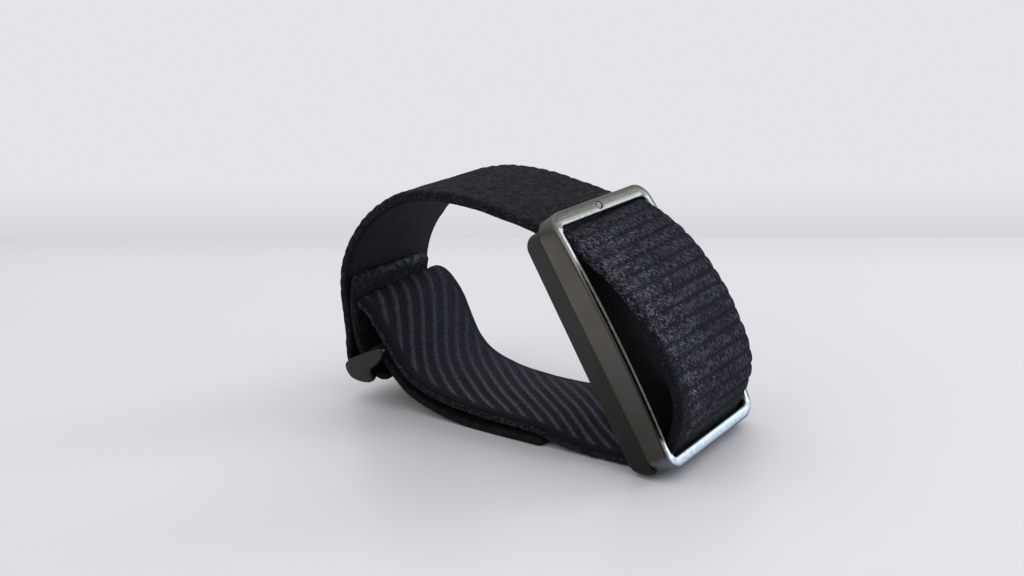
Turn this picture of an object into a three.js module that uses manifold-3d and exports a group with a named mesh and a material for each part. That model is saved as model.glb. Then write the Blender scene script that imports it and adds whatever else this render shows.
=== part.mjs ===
// Fitness tracker band: a sensor pod held in a slim metal clasp frame, on a
// single ribbed knit strap with a slide adjuster.
//
// Millimetres, +Z up. The band stands on its side edges the way it is laid on
// a table: the strap loop is a profile in the XZ plane, its width runs along Y.
// The origin is the middle of the footprint, on the table.
// X runs from the adjuster (-X) to the clasp (+X).
import * as THREE from "three";
import { mergeVertices } from "three/addons/utils/BufferGeometryUtils.js";
import Module from "manifold-3d";

// ---------------------------------------------------------------- dimensions
const X0 = 27.815;           // loop profile to footprint middle
const CLASP_Z = 22.20;       // middle of the clasp window above the table
const CLASP_TILT = 27.7;     // clasp leans back from vertical, degrees

const STRAP_W = 24.2;        // webbing width
const STRAP_T = 1.6;         // main strap thickness
const ANCHOR_T = 1.4;        // anchor strap thickness

const FRAME_HALF_W = 14.5;   // clasp frame, half width
const FRAME_U0 = -23.2;      // top end of the frame
const FRAME_U1 = 22.7;       // bottom end of the frame
const FRAME_R = 3.4;         // outer corner radius
const WIN_HALF_L = 20.6;     // window, half length
const WIN_HALF_W = 12.5;     // window, half width
const FRAME_BACK = -3.0;     // back of the side rails
const BAR_BACK = -1.3;       // back of the two cross bars
const FRONT_END = 0.3;       // front of the frame at its ends
const FRONT_MID = 1.4;       // front of the frame at mid length (crowned)

const POD_HALF_W = 14.4;
const POD_U0 = -18.5, POD_U1 = 18.6;    // body between the strap slots
const EAR_U0 = -21.65, EAR_U1 = 21.9;    // side ears past the strap slots
const POD_SKIN = -7.0;       // skin side of the pod
const POD_RIM = -3.25;       // front rim, under the frame rails
const POD_FACE = -2.2;       // raised front face, inside the window
const CAV_U0 = -17.3, CAV_U1 = 17.4, CAV_HALF_W = 12.9;
const CAV_FLOOR = -6.25, LID_INNER = -2.85;

const HINGE_U = -20.3, HINGE_N = -4.6;  // clasp hinge axis, along Y
const PIN_R = 0.5, PIN_HOLE_R = 0.8;
const LATCH_U = 20.4, LATCH_N = -4.4;

const SENSOR_U = 2.4, SENSOR_HALF = 6.5;
const MOTOR_U = 12.7, MOTOR_Y = -7.6, MOTOR_R = 3.5;

const BAR_L = [-64.0, 6.9], BAR_L_R = 0.8;    // adjuster: strap turns round this
const BAR_R = [-57.7, 9.9], BAR_R_R = 0.9;    // adjuster: anchor loop holds this

// ------------------------------------------------------------------- helpers
const wasm = await Module();
wasm.setup();

function solid(geo) {
  const g = geo.clone();
  g.deleteAttribute("normal");
  g.deleteAttribute("uv");
  const m = mergeVertices(g, 1e-4);
  return new wasm.Manifold(new wasm.Mesh({
    numProp: 3,
    vertProperties: new Float32Array(m.attributes.position.array),
    triVerts: new Uint32Array(m.index.array),
  }));
}
function geometry(man) {
  const mesh = man.getMesh();
  const g = new THREE.BufferGeometry();
  const src = mesh.vertProperties, np = mesh.numProp, n = src.length / np;
  const pos = new Float32Array(n * 3);
  for (let i = 0; i < n; i++) for (let k = 0; k < 3; k++) pos[3 * i + k] = src[i * np + k];
  g.setAttribute("position", new THREE.BufferAttribute(pos, 3));
  g.setIndex(new THREE.BufferAttribute(new Uint32Array(mesh.triVerts), 1));
  g.computeVertexNormals();
  return g;
}
const cut = (a, ...bs) => geometry(bs.reduce((m, b) => m.subtract(solid(b)), solid(a)));
const join = (a, ...bs) => geometry(bs.reduce((m, b) => m.add(solid(b)), solid(a)));
const meet = (a, b) => geometry(solid(a).intersect(solid(b)));

function box(x0, x1, y0, y1, z0, z1) {
  return new THREE.BoxGeometry(x1 - x0, y1 - y0, z1 - z0)
    .translate((x0 + x1) / 2, (y0 + y1) / 2, (z0 + z1) / 2);
}
// rounded rectangle in XY, extruded from z0 to z1
function plate(x0, x1, y0, y1, r, z0, z1, seg = 5) {
  const s = new THREE.Shape();
  s.moveTo(x0 + r, y0);
  s.lineTo(x1 - r, y0); s.absarc(x1 - r, y0 + r, r, -Math.PI / 2, 0);
  s.lineTo(x1, y1 - r); s.absarc(x1 - r, y1 - r, r, 0, Math.PI / 2);
  s.lineTo(x0 + r, y1); s.absarc(x0 + r, y1 - r, r, Math.PI / 2, Math.PI);
  s.lineTo(x0, y0 + r); s.absarc(x0 + r, y0 + r, r, Math.PI, 1.5 * Math.PI);
  return new THREE.ExtrudeGeometry(s, { depth: z1 - z0, bevelEnabled: false, curveSegments: seg })
    .translate(0, 0, z0);
}
// closed outline given as [x, z] points, extruded along Y from y0 to y1
function slab(points, y0, y1) {
  const s = new THREE.Shape(points.map(([x, z]) => new THREE.Vector2(x, z)));
  return new THREE.ExtrudeGeometry(s, { depth: y1 - y0, bevelEnabled: false })
    .rotateX(Math.PI / 2).translate(0, y1, 0);
}
// round bar along Y
function rod(x, z, r, y0, y1, seg = 16) {
  return new THREE.CylinderGeometry(r, r, y1 - y0, seg).translate(x, (y0 + y1) / 2, z);
}
// round post along Z
function post(x, y, r, z0, z1, seg = 20) {
  return new THREE.CylinderGeometry(r, r, z1 - z0, seg)
    .rotateX(Math.PI / 2).translate(x, y, (z0 + z1) / 2);
}
// drops the points of a line that lie within tol of a straight run
function thin(line, tol = 0.012) {
  const [a, b] = [line[0], line[line.length - 1]];
  const dx = b[0] - a[0], dz = b[1] - a[1], l = Math.hypot(dx, dz);
  let far = 0, at = 0;
  for (let i = 1; i < line.length - 1; i++) {
    const d = Math.abs((line[i][0] - a[0]) * dz - (line[i][1] - a[1]) * dx) / l;
    if (d > far) { far = d; at = i; }
  }
  if (far < tol) return [a, b];
  return [...thin(line.slice(0, at + 1), tol).slice(0, -1), ...thin(line.slice(at), tol)];
}
// a ribbon of constant thickness along a smooth curve through [x, z] points
function ribbon(points, thickness, steps) {
  const curve = new THREE.SplineCurve(points.map(([x, z]) => new THREE.Vector2(x, z)));
  const p = curve.getSpacedPoints(steps);
  const a = [], b = [], h = thickness / 2;
  const nrm = (i) => {
    const q = p[Math.min(i + 1, steps)], o = p[Math.max(i - 1, 0)];
    const dx = q.x - o.x, dz = q.y - o.y, l = Math.hypot(dx, dz);
    return [-dz / l, dx / l];
  };
  for (let i = 0; i <= steps; i++) {
    const [nx, nz] = nrm(i);
    a.push([p[i].x + nx * h, p[i].y + nz * h]);
    b.push([p[i].x - nx * h, p[i].y - nz * h]);
  }
  const tip = (i, sign) => {            // half-round end
    const [nx, nz] = nrm(i), tx = nz * sign, tz = -nx * sign;
    return [p[i].x + tx * h * 0.7, p[i].y + tz * h * 0.7];
  };
  return [...thin(a), tip(steps, 1), ...thin(b.reverse()), tip(0, -1)];
}

const D = Math.PI / 180;
const U = [Math.sin(CLASP_TILT * D), -Math.cos(CLASP_TILT * D)];   // down the clasp
const N = [Math.cos(CLASP_TILT * D), Math.sin(CLASP_TILT * D)];    // out of the clasp
const un = (u, n) => [U[0] * u + N[0] * n, CLASP_Z + U[1] * u + N[1] * n];

const band = new THREE.Group();
const clasp = new THREE.Group();         // local x = down, y = width, z = outwards
clasp.rotation.y = (90 - CLASP_TILT) * D;
clasp.position.set(X0, 0, CLASP_Z);
const loop = new THREE.Group();          // the strap profile's own frame
loop.position.set(X0, 0, 0);
band.add(clasp, loop);

function part(parent, name, geo, color, roughness, metalness) {
  const mesh = new THREE.Mesh(geo, new THREE.MeshStandardMaterial({ color, roughness, metalness }));
  mesh.name = name;
  parent.add(mesh);
  return mesh;
}
const GUNMETAL = [0x5b5855, 0.42, 0.9];
const POD = [0x3c3f3d, 0.6, 0.1];
const KNIT = [0x17181b, 0.95, 0.0];

// --------------------------------------------------------------- clasp frame
// crowned plate with a window; the two cross bars are raised so the strap
// passes behind them, and lugs at the top end reach back to the hinge pins
{
  const outline = plate(FRAME_U0, FRAME_U1, -FRAME_HALF_W, FRAME_HALF_W, FRAME_R, FRAME_BACK, 3, 6);
  const front = [], mid = (FRAME_U0 + FRAME_U1) / 2, half = (FRAME_U1 - FRAME_U0) / 2;
  for (let i = 0; i <= 16; i++) {
    const k = -1 + i / 8;
    front.push([mid + k * (half + 0.5), FRONT_END + (FRONT_MID - FRONT_END) * (1 - k * k)]);
  }
  const crown = slab([[FRAME_U0 - 0.5, -7], [FRAME_U1 + 0.5, -7], ...front.reverse()], -16, 16);
  const lugs = [-1, 1].map((s) => {
    const a = s * 12.5, b = s * 13.25;
    return join(box(-21.8, -18.9, Math.min(a, b), Math.max(a, b), HINGE_N, FRAME_BACK + 0.5),
      rod(HINGE_U, HINGE_N, 1.45, Math.min(a, b), Math.max(a, b), 18));
  });
  const catches = [-1, 1].map((s) => {
    const a = s * 12.5, b = s * 13.05;
    return box(19.5, 21.3, Math.min(a, b), Math.max(a, b), -5.2, FRAME_BACK + 0.5);
  });
  let g = meet(outline, crown);
  g = cut(g,
    plate(-WIN_HALF_L, WIN_HALF_L, -WIN_HALF_W, WIN_HALF_W, 0.9, -8, 5, 3),
    box(FRAME_U0 - 1, -WIN_HALF_L + 1.2, -WIN_HALF_W, WIN_HALF_W, -8, BAR_BACK),
    box(WIN_HALF_L - 1.2, FRAME_U1 + 1, -WIN_HALF_W, WIN_HALF_W, -8, BAR_BACK));
  g = join(g, ...lugs, ...catches);
  g = cut(g,
    rod(HINGE_U, HINGE_N, PIN_HOLE_R, -14, -12, 16), rod(HINGE_U, HINGE_N, PIN_HOLE_R, 12, 14, 16),
    post(-21.85, -0.65, 0.85, -0.45, 2, 20));
  part(clasp, "clasp_frame", g, ...GUNMETAL);
  part(clasp, "index_dot", post(-21.85, -0.65, 0.6, -0.3, 0.4, 20), 0xb9bbbd, 0.3, 0.2);
}
for (const [s, side] of [[-1, "near"], [1, "far"]]) {
  const a = s * 12.5, b = s * 14.05;
  part(clasp, `hinge_pin_${side}`, rod(HINGE_U, HINGE_N, PIN_R, Math.min(a, b), Math.max(a, b), 14), 0x8f9294, 0.35, 1);
}

// ----------------------------------------------------------------- pod casing
// skin-side shell: full-width sides with ears that run past the strap slots
{
  // the top ears are round about the hinge, so that the frame swings clear
  const end = (u0, u1) => {               // rounded side profile, [u, n]
    const r0 = HINGE_N - POD_SKIN, r1 = 2.9, rh = POD_RIM - HINGE_N, p = [], q = [];
    for (let i = 0; i < 6; i++) {
      const t = (i / 6) * (Math.PI / 2);
      p.push([HINGE_U - rh * Math.sin(t), HINGE_N + rh * Math.cos(t)]);
    }
    for (let i = 0; i <= 6; i++) {
      const t = (i / 6) * (Math.PI / 2);
      p.push([u0 + r0 - r0 * Math.cos(t), POD_SKIN + r0 - r0 * Math.sin(t)]);
    }
    for (let i = 0; i <= 6; i++) {
      const t = (i / 6) * (Math.PI / 2);
      q.push([u1 - r1 + r1 * Math.sin(t), POD_SKIN + r1 - r1 * Math.cos(t)]);
    }
    return [...p, ...q, [u1, POD_RIM]];
  };
  const body = meet(slab(end(EAR_U0, EAR_U1), -POD_HALF_W, POD_HALF_W),
    plate(EAR_U0 - 1, EAR_U1 + 1, -POD_HALF_W, POD_HALF_W, 1.6, POD_SKIN - 1, POD_RIM + 1, 4));
  const shell = cut(body,
    box(EAR_U0 - 2, POD_U0, -12.4, 12.4, -8, -2),          // strap slot, top end
    box(POD_U1, EAR_U1 + 2, -12.4, 12.4, -8, -2),          // strap slot, bottom end
    box(EAR_U0 - 2, -18.55, -13.55, 13.55, -8, -2),        // room for the hinge lugs
    box(19.1, EAR_U1 + 2, -13.55, 13.55, -8, -2),          // room for the catches
    plate(CAV_U0, CAV_U1, -CAV_HALF_W, CAV_HALF_W, 2.2, CAV_FLOOR, 0, 4),
    plate(SENSOR_U - SENSOR_HALF - 0.3, SENSOR_U + SENSOR_HALF + 0.3, -SENSOR_HALF - 0.3, SENSOR_HALF + 0.3, 2.3, -8, -5, 5),
    post(14.0, 6.0, 1.0, -8, -5, 16),
    rod(HINGE_U, HINGE_N, PIN_HOLE_R, -14.1, -12, 16), rod(HINGE_U, HINGE_N, PIN_HOLE_R, 12, 14.1, 16));
  part(clasp, "pod_bottom_case", shell, ...POD);

  // front lid: drops into the shell, its face standing up inside the window
  const lid = cut(plate(CAV_U0 + 0.15, CAV_U1 - 0.15, -12.05, 12.05, 2.0, -4.2, POD_FACE, 4),
    plate(CAV_U0 + 0.95, CAV_U1 - 0.95, -11.3, 11.3, 1.4, -5, LID_INNER, 4));
  part(clasp, "pod_top_case", lid, 0x1d1f20, 0.5, 0.05);
  const seal = cut(plate(CAV_U0 + 0.15, CAV_U1 - 0.15, -12.05, 12.05, 2.0, -4.75, -4.35, 4),
    plate(CAV_U0 + 0.7, CAV_U1 - 0.7, -11.5, 11.5, 1.6, -6, -4, 4));
  part(clasp, "case_seal", seal, 0x6a2f22, 0.8, 0);
}

// ------------------------------------------------------------ optical sensor
{
  const s = SENSOR_HALF;
  const lens = [];                       // domed outer face, [x, n] across the pod
  for (let i = 0; i <= 10; i++) {
    const k = -1 + i / 5;
    lens.push([SENSOR_U + k * s, -7.25 - 0.55 * Math.sqrt(Math.max(0, 1 - k * k * 0.85))]);
  }
  const dome = slab([...lens, [SENSOR_U + s, -6.3], [SENSOR_U - s, -6.3]], -s, s);
  part(clasp, "optical_window", meet(dome, plate(SENSOR_U - s, SENSOR_U + s, -s, s, 2.0, -9, -6, 5)), 0x101314, 0.1, 0);

  const leds = [["led_green_a", -1.0, 1.5], ["led_green_b", 1.0, 1.5], ["led_green_c", -1.0, -1.5], ["led_red", 1.0, -1.5], ["led_infrared", 0, 0]];
  const diodes = [["photodiode_a", -4.4, 0, 1.4, 3.0], ["photodiode_b", 4.4, 0, 1.4, 3.0], ["photodiode_c", 0, 4.4, 3.0, 1.4], ["photodiode_d", 0, -4.4, 3.0, 1.4]];
  const holes = [plate(SENSOR_U - 2.0, SENSOR_U + 2.0, -2.5, 2.5, 0.4, -7, -5, 2),
    ...diodes.map(([, u, y, w, l]) => box(SENSOR_U + u - w / 2 - 0.25, SENSOR_U + u + w / 2 + 0.25, y - l / 2 - 0.25, y + l / 2 + 0.25, -7, -5))];
  part(clasp, "light_baffle", cut(plate(SENSOR_U - s - 0.1, SENSOR_U + s + 0.1, -s - 0.1, s + 0.1, 1.5, -6.1, -5.6, 3), ...holes), 0x0c0c0c, 0.9, 0);
  const colours = { led_green_a: 0x9fe0a0, led_green_b: 0x9fe0a0, led_green_c: 0x9fe0a0, led_red: 0xd88a80, led_infrared: 0xb8b0c4 };
  for (const [name, u, y] of leds)
    part(clasp, name, box(SENSOR_U + u - 0.5, SENSOR_U + u + 0.5, y - 0.5, y + 0.5, -5.75, -5.15), colours[name], 0.3, 0);
  for (const [name, u, y, w, l] of diodes)
    part(clasp, name, box(SENSOR_U + u - w / 2, SENSOR_U + u + w / 2, y - l / 2, y + l / 2, -5.7, -5.15), 0x23283a, 0.25, 0.2);
  part(clasp, "sensor_board", plate(SENSOR_U - 6.9, SENSOR_U + 6.2, -7.2, 7.2, 0.8, -5.0, -4.7, 3), 0x1f4a33, 0.5, 0.1);
  part(clasp, "temperature_probe", post(14.0, 6.0, 0.7, -7.1, -5.0, 16), 0xb9a26a, 0.35, 0.9);
}

// --------------------------------------------------------------- electronics
{
  const board = new THREE.Shape([[-4.2, -10.8], [8.9, -10.8], [8.9, -3.8], [15.8, -3.8], [15.8, 10.6], [-4.2, 10.6]]
    .map(([x, y]) => new THREE.Vector2(x, y)));
  part(clasp, "main_board", new THREE.ExtrudeGeometry(board, { depth: 0.4, bevelEnabled: false }).translate(0, 0, -4.2), 0x1d5137, 0.5, 0.1);
  part(clasp, "board_connector", box(-2.9, -0.9, -3.0, 3.0, -4.6, -4.3), 0xd8d2c4, 0.5, 0);
  part(clasp, "mcu_chip", box(1.0, 6.0, -2.5, 2.5, -3.7, -3.05), 0x17181a, 0.45, 0);
  part(clasp, "memory_chip", box(1.2, 5.2, 4.4, 8.4, -3.7, -3.1), 0x17181a, 0.45, 0);
  part(clasp, "power_chip", box(-2.8, -0.4, 5.0, 7.4, -3.7, -3.2), 0x1b1c1e, 0.45, 0);
  part(clasp, "motion_sensor_chip", box(8.0, 10.5, 1.0, 3.5, -3.7, -3.0), 0x1b1c1e, 0.45, 0);
  part(clasp, "antenna", box(13.2, 15.6, -3.2, 9.8, -3.7, -3.3), 0xc8b48a, 0.4, 0.8);
}

// ------------------------------------------------------- battery and charging
{
  part(clasp, "battery_pad", plate(-16.0, -6.2, -10.0, 10.0, 0.8, -6.15, -5.95, 3), 0xb9b4a6, 0.9, 0);
  part(clasp, "battery_cell", plate(-16.2, -5.6, -11.0, 11.0, 1.0, -5.85, -3.8, 4), 0xa9adb0, 0.4, 0.6);
  part(clasp, "battery_lead", box(-5.45, -4.35, -2.2, 2.2, -4.15, -3.95), 0xb87333, 0.4, 0.7);
  part(clasp, "ferrite_sheet", plate(-15.9, -5.9, -9.6, 9.6, 0.8, -3.65, -3.45, 3), 0x3a3a3c, 0.7, 0.2);
  const coil = cut(plate(-15.6, -6.2, -9.2, 9.2, 2.6, -3.32, -3.02, 6), plate(-13.3, -8.5, -6.9, 6.9, 1.4, -4, -2, 6));
  part(clasp, "charging_coil", coil, 0xb46a3a, 0.4, 0.9);
}

// ------------------------------------------------------------ vibration motor
{
  const profile = (pts) => new THREE.LatheGeometry(pts.map(([r, z]) => new THREE.Vector2(r, z)), 24)
    .rotateX(Math.PI / 2).translate(MOTOR_U, MOTOR_Y, 0);
  // cup, open to the front, with a socket for the shaft
  part(clasp, "motor_case", profile([[0.7, -5.2], [0.7, -6.1], [MOTOR_R, -6.1], [MOTOR_R, -3.1], [MOTOR_R - 0.3, -3.1], [MOTOR_R - 0.3, -5.75], [1.1, -5.75], [1.1, -5.2], [0.7, -5.2]]), 0x9a9da0, 0.35, 0.9);
  part(clasp, "motor_shaft", post(MOTOR_U, MOTOR_Y, 0.4, -6.1, -3.2, 16), 0xc4c6c8, 0.2, 1);
  const sector = new THREE.Shape();
  // heavy half hangs down
  sector.moveTo(0, -2.8); sector.absarc(0, 0, 2.8, -Math.PI / 2, Math.PI / 2); sector.lineTo(0, 1.2);
  sector.absarc(0, 0, 1.2, Math.PI / 2, 1.5 * Math.PI); sector.lineTo(0, -2.8);
  const rotor = cut(new THREE.ExtrudeGeometry(sector, { depth: 1.2, bevelEnabled: false, curveSegments: 14 })
    .translate(MOTOR_U, MOTOR_Y, -4.8), post(MOTOR_U, MOTOR_Y, 0.7, -6, -3, 16));
  part(clasp, "motor_rotor", rotor, 0x77797c, 0.4, 0.9);
}

// ------------------------------------------------------------ latch springs
// bent leaf in each bottom ear that the frame's catch snaps against
for (const [s, side] of [[-1, "near"], [1, "far"]]) {
  const y0 = s * 13.22, y1 = s * 13.42;
  part(clasp, `latch_spring_${side}`, box(19.4, 21.2, Math.min(y0, y1), Math.max(y0, y1), -5.4, -3.5), 0xa7aaad, 0.3, 1);
}

// -------------------------------------------------------------------- strap
// one continuous ribbed strap, listed from its soft inner end: up-curved tab
// inside the loop, along the table, through the clasp's bottom slot, a slack
// bulge over the pod, out of the top slot, over the top and down the left side,
// round the adjuster's lower bar and back up as the tail
const MAIN = [
  [-62.3, 20.95], [-61.1, 20.8], [-59.6, 20.0], [-58.2, 18.3], [-56.9, 16.2], [-55.5, 13.9], [-53.8, 11.2], [-51.7, 8.6],
  [-49.0, 6.5], [-45.5, 5.0], [-41.5, 3.95], [-37.0, 3.2], [-32.0, 2.75], [-26.0, 2.62], [-19.5, 2.58],
  [-15.0, 2.05], [-11.0, 1.4], [-7.5, 1.1], [-3.0, 1.0], [1.3, 1.0], [4.1, 1.3], [6.0, 2.2],
  un(19.95, -2.1), un(19.1, -0.5), un(17.75, 1.2), un(15.8, 3.3), un(13.4, 4.95), un(11.1, 5.75), un(8.8, 6.2),
  un(5.9, 6.45), un(3.0, 6.65), un(0, 6.55), un(-3.4, 6.15), un(-6.3, 5.5), un(-9.5, 4.4), un(-12.1, 3.25),
  un(-14.6, 1.95), un(-17.0, 0.6), un(-18.6, -0.5), un(-19.35, -1.5), un(-20.1, -2.65), un(-21.15, -3.85), un(-22.3, -4.95), un(-23.5, -6.0),
  [-18.3, 40.75], [-22.5, 41.7], [-27.0, 42.75], [-31.5, 43.5], [-36.5, 43.85], [-41.5, 43.55], [-46.2, 42.45],
  [-50.2, 40.6], [-53.8, 38.3], [-57.1, 35.6], [-60.0, 32.6], [-62.3, 29.5], [-64.0, 26.2], [-64.95, 22.8],
  [-65.35, 19.0], [-65.5, 15.5], [-65.8, 12.4], [-66.15, 9.6],
  [BAR_L[0] - 2.2, 6.9], [BAR_L[0] - 1.56, 5.34], [BAR_L[0], 4.7], [BAR_L[0] + 1.56, 5.34], [BAR_L[0] + 2.2, 6.9],
  [-62.15, 8.9], [-63.0, 10.9], [-63.6, 13.2], [-63.75, 16.0], [-63.65, 19.0], [-63.25, 22.0], [-62.55, 24.6], [-61.9, 26.5],
];
part(loop, "strap_band", slab(ribbon(MAIN, STRAP_T, 190), -STRAP_W / 2, STRAP_W / 2), ...KNIT);

// anchor strap: sewn flat under the main strap, looped round the adjuster bar
const ANCHOR = [
  [-16.9, 0.74], [-18.6, 0.705], [-20.5, 0.7], [-23.0, 0.7], [-28.0, 0.7], [-32.0, 0.73], [-34.8, 0.92], [-38.0, 1.38], [-42.0, 2.2], [-46.0, 3.3],
  [-49.8, 4.9], [-52.6, 7.0], [-54.5, 9.0], [-55.8, 10.5], [-57.6, 11.8], [-59.3, 10.9], [-59.7, 9.3],
  [-59.4, 7.5], [-58.2, 6.3], [-56.6, 6.2], [-55.4, 6.7],
];
part(loop, "anchor_strap", slab(ribbon(ANCHOR, ANCHOR_T, 84), -STRAP_W / 2, STRAP_W / 2), ...KNIT);

// ------------------------------------------------------------------ adjuster
// two end plates and a fixed lower bar in one piece; the second bar is a pin
{
  const outline = [[-65.4, 8.5], [-62.2, 10.2], [-58.0, 11.9], [-54.8, 13.1], [-54.1, 12.6], [-54.3, 11.2], [-56.3, 9.3],
    [-58.0, 8.3], [-58.3, 7.4], [-57.6, 6.3], [-58.6, 5.2], [-60.6, 4.9], [-62.6, 5.0], [-64.2, 5.4], [-65.4, 6.9]];
  // the far arm is shorter, tucked behind the strap's edge
  const outlineFar = [...outline.slice(0, 2), [-58.0, 11.9], [-57.0, 12.1], [-56.2, 11.6], [-55.9, 10.5], ...outline.slice(6)];
  const plates = [slab(outline, -13.9, -12.45), slab(outlineFar, 12.45, 13.6)];
  const frame = cut(join(plates[0], plates[1], rod(...BAR_L, BAR_L_R, -13, 13, 18)),
    rod(...BAR_R, BAR_R_R + 0.3, -13.6, -12, 18), rod(...BAR_R, BAR_R_R + 0.3, 12, 13.6, 18));
  part(loop, "adjuster_frame", frame, ...GUNMETAL);
  part(loop, "adjuster_bar", rod(...BAR_R, BAR_R_R, -13.3, 13.3, 18), 0x6b6864, 0.4, 0.9);
}

export default band;
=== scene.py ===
import math
import bpy
import bmesh
import numpy as np
from mathutils import Vector, Matrix


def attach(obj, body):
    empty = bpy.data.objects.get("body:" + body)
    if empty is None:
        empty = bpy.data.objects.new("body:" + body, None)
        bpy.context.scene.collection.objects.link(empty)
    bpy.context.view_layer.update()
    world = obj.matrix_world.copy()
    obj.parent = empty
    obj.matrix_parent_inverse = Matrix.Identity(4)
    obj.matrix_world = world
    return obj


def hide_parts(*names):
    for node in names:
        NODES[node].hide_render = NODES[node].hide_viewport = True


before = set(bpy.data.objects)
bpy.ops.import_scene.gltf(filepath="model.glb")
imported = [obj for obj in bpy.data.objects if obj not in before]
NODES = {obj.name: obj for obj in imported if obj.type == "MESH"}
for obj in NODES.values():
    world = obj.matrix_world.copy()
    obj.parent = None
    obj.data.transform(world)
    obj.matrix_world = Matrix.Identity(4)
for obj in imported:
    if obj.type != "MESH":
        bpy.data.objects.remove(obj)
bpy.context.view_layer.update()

MM = 0.001

# ------------------------------------------------------------------ the frame
# The clasp's own axes: u runs down the clasp, y across the band, n out of it.
X0, CLASP_Z, TILT = 27.815, 22.20, math.radians(27.7)
U = (math.sin(TILT), -math.cos(TILT))
N = (math.cos(TILT), math.sin(TILT))
CLASP = Matrix(((U[0], 0, N[0], X0), (0, 1, 0, 0), (U[1], 0, N[1], CLASP_Z), (0, 0, 0, 1)))
LOOP = Matrix.Translation((X0, 0, 0))


def un(u, n):
    return (U[0] * u + N[0] * n, CLASP_Z + U[1] * u + N[1] * n)


# The strap's centreline in the loop's profile plane, millimetres.
MAIN = [
    (-62.3, 20.95), (-61.1, 20.8), (-59.6, 20.0), (-58.2, 18.3), (-56.9, 16.2), (-55.5, 13.9), (-53.8, 11.2), (-51.7, 8.6),
    (-49.0, 6.5), (-45.5, 5.0), (-41.5, 3.95), (-37.0, 3.2), (-32.0, 2.75), (-26.0, 2.62), (-19.5, 2.58),
    (-15.0, 2.05), (-11.0, 1.4), (-7.5, 1.1), (-3.0, 1.0), (1.3, 1.0), (4.1, 1.3), (6.0, 2.2),
    un(19.95, -2.1), un(19.1, -0.5), un(17.75, 1.2), un(15.8, 3.3), un(13.4, 4.95), un(11.1, 5.75), un(8.8, 6.2),
    un(5.9, 6.45), un(3.0, 6.65), un(0, 6.55), un(-3.4, 6.15), un(-6.3, 5.5), un(-9.5, 4.4), un(-12.1, 3.25),
    un(-14.6, 1.95), un(-17.0, 0.6), un(-18.6, -0.5), un(-19.35, -1.5), un(-20.1, -2.65), un(-21.15, -3.85),
    un(-22.3, -4.95), un(-23.5, -6.0),
    (-18.3, 40.75), (-22.5, 41.7), (-27.0, 42.75), (-31.5, 43.5), (-36.5, 43.85), (-41.5, 43.55), (-46.2, 42.45),
    (-50.2, 40.6), (-53.8, 38.3), (-57.1, 35.6), (-60.0, 32.6), (-62.3, 29.5), (-64.0, 26.2), (-64.95, 22.8),
    (-65.35, 19.0), (-65.5, 15.5), (-65.8, 12.4), (-66.15, 9.6),
    (-66.2, 6.9), (-65.56, 5.34), (-64.0, 4.7), (-62.44, 5.34), (-61.8, 6.9),
    (-62.15, 8.9), (-63.0, 10.9), (-63.6, 13.2), (-63.75, 16.0), (-63.65, 19.0), (-63.25, 22.0), (-62.55, 24.6), (-61.9, 26.5),
]
ANCHOR = [
    (-16.9, 0.74), (-18.6, 0.705), (-20.5, 0.7), (-23.0, 0.7), (-28.0, 0.7), (-32.0, 0.73), (-34.8, 0.92), (-38.0, 1.38),
    (-42.0, 2.2), (-46.0, 3.3), (-49.8, 4.9), (-52.6, 7.0), (-54.5, 9.0), (-55.8, 10.5), (-57.6, 11.8), (-59.3, 10.9),
    (-59.7, 9.3), (-59.4, 7.5), (-58.2, 6.3), (-56.6, 6.2), (-55.4, 6.7),
]
STRAP_W = 24.2
BAR_L, BAR_R = (-64.0, 6.9), (-57.7, 9.9)


# ------------------------------------------------------------------- numbers
def smooth(a, b, x):
    t = np.clip((np.asarray(x, float) - a) / (b - a), 0, 1)
    return t * t * (3 - 2 * t)


_perm = np.random.RandomState(71).rand(4096)


def hash1(i):
    return _perm[np.asarray(np.floor(i), int) % 4096]


def wave(x, seed=0.0):
    """Smooth value noise of one coordinate, about -1 to 1."""
    x = np.asarray(x, float) + seed * 37.7
    i = np.floor(x)
    f = x - i
    f = f * f * (3 - 2 * f)
    return 2 * (hash1(i) * (1 - f) + hash1(i + 1) * f) - 1


def wave2(x, y, seed=0.0):
    """Smooth value noise of two coordinates, about -1 to 1."""
    x = np.asarray(x, float) + seed * 37.7
    y = np.asarray(y, float)
    i, j = np.floor(x), np.floor(y)
    f, g = x - i, y - j
    f, g = f * f * (3 - 2 * f), g * g * (3 - 2 * g)
    h = lambda a, b: hash1(a * 17 + b * 131)
    return 2 * ((h(i, j) * (1 - f) + h(i + 1, j) * f) * (1 - g) + (h(i, j + 1) * (1 - f) + h(i + 1, j + 1) * f) * g) - 1


def spline(points, k=24):
    p = np.array(points, float)
    n, out = len(p), []
    for i in range(n - 1):
        p0, p1, p2, p3 = p[max(i - 1, 0)], p[i], p[i + 1], p[min(i + 2, n - 1)]
        v0, v1 = (p2 - p0) * 0.5, (p3 - p1) * 0.5
        t = (np.arange(k) / k)[:, None]
        out.append((2 * p1 - 2 * p2 + v0 + v1) * t ** 3 + (-3 * p1 + 3 * p2 - 2 * v0 - v1) * t * t + v0 * t + p1)
    out.append(p[-1:])
    c = np.concatenate(out)
    s = np.concatenate([[0], np.cumsum(np.hypot(*np.diff(c, axis=0).T))])
    return c, s


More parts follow.
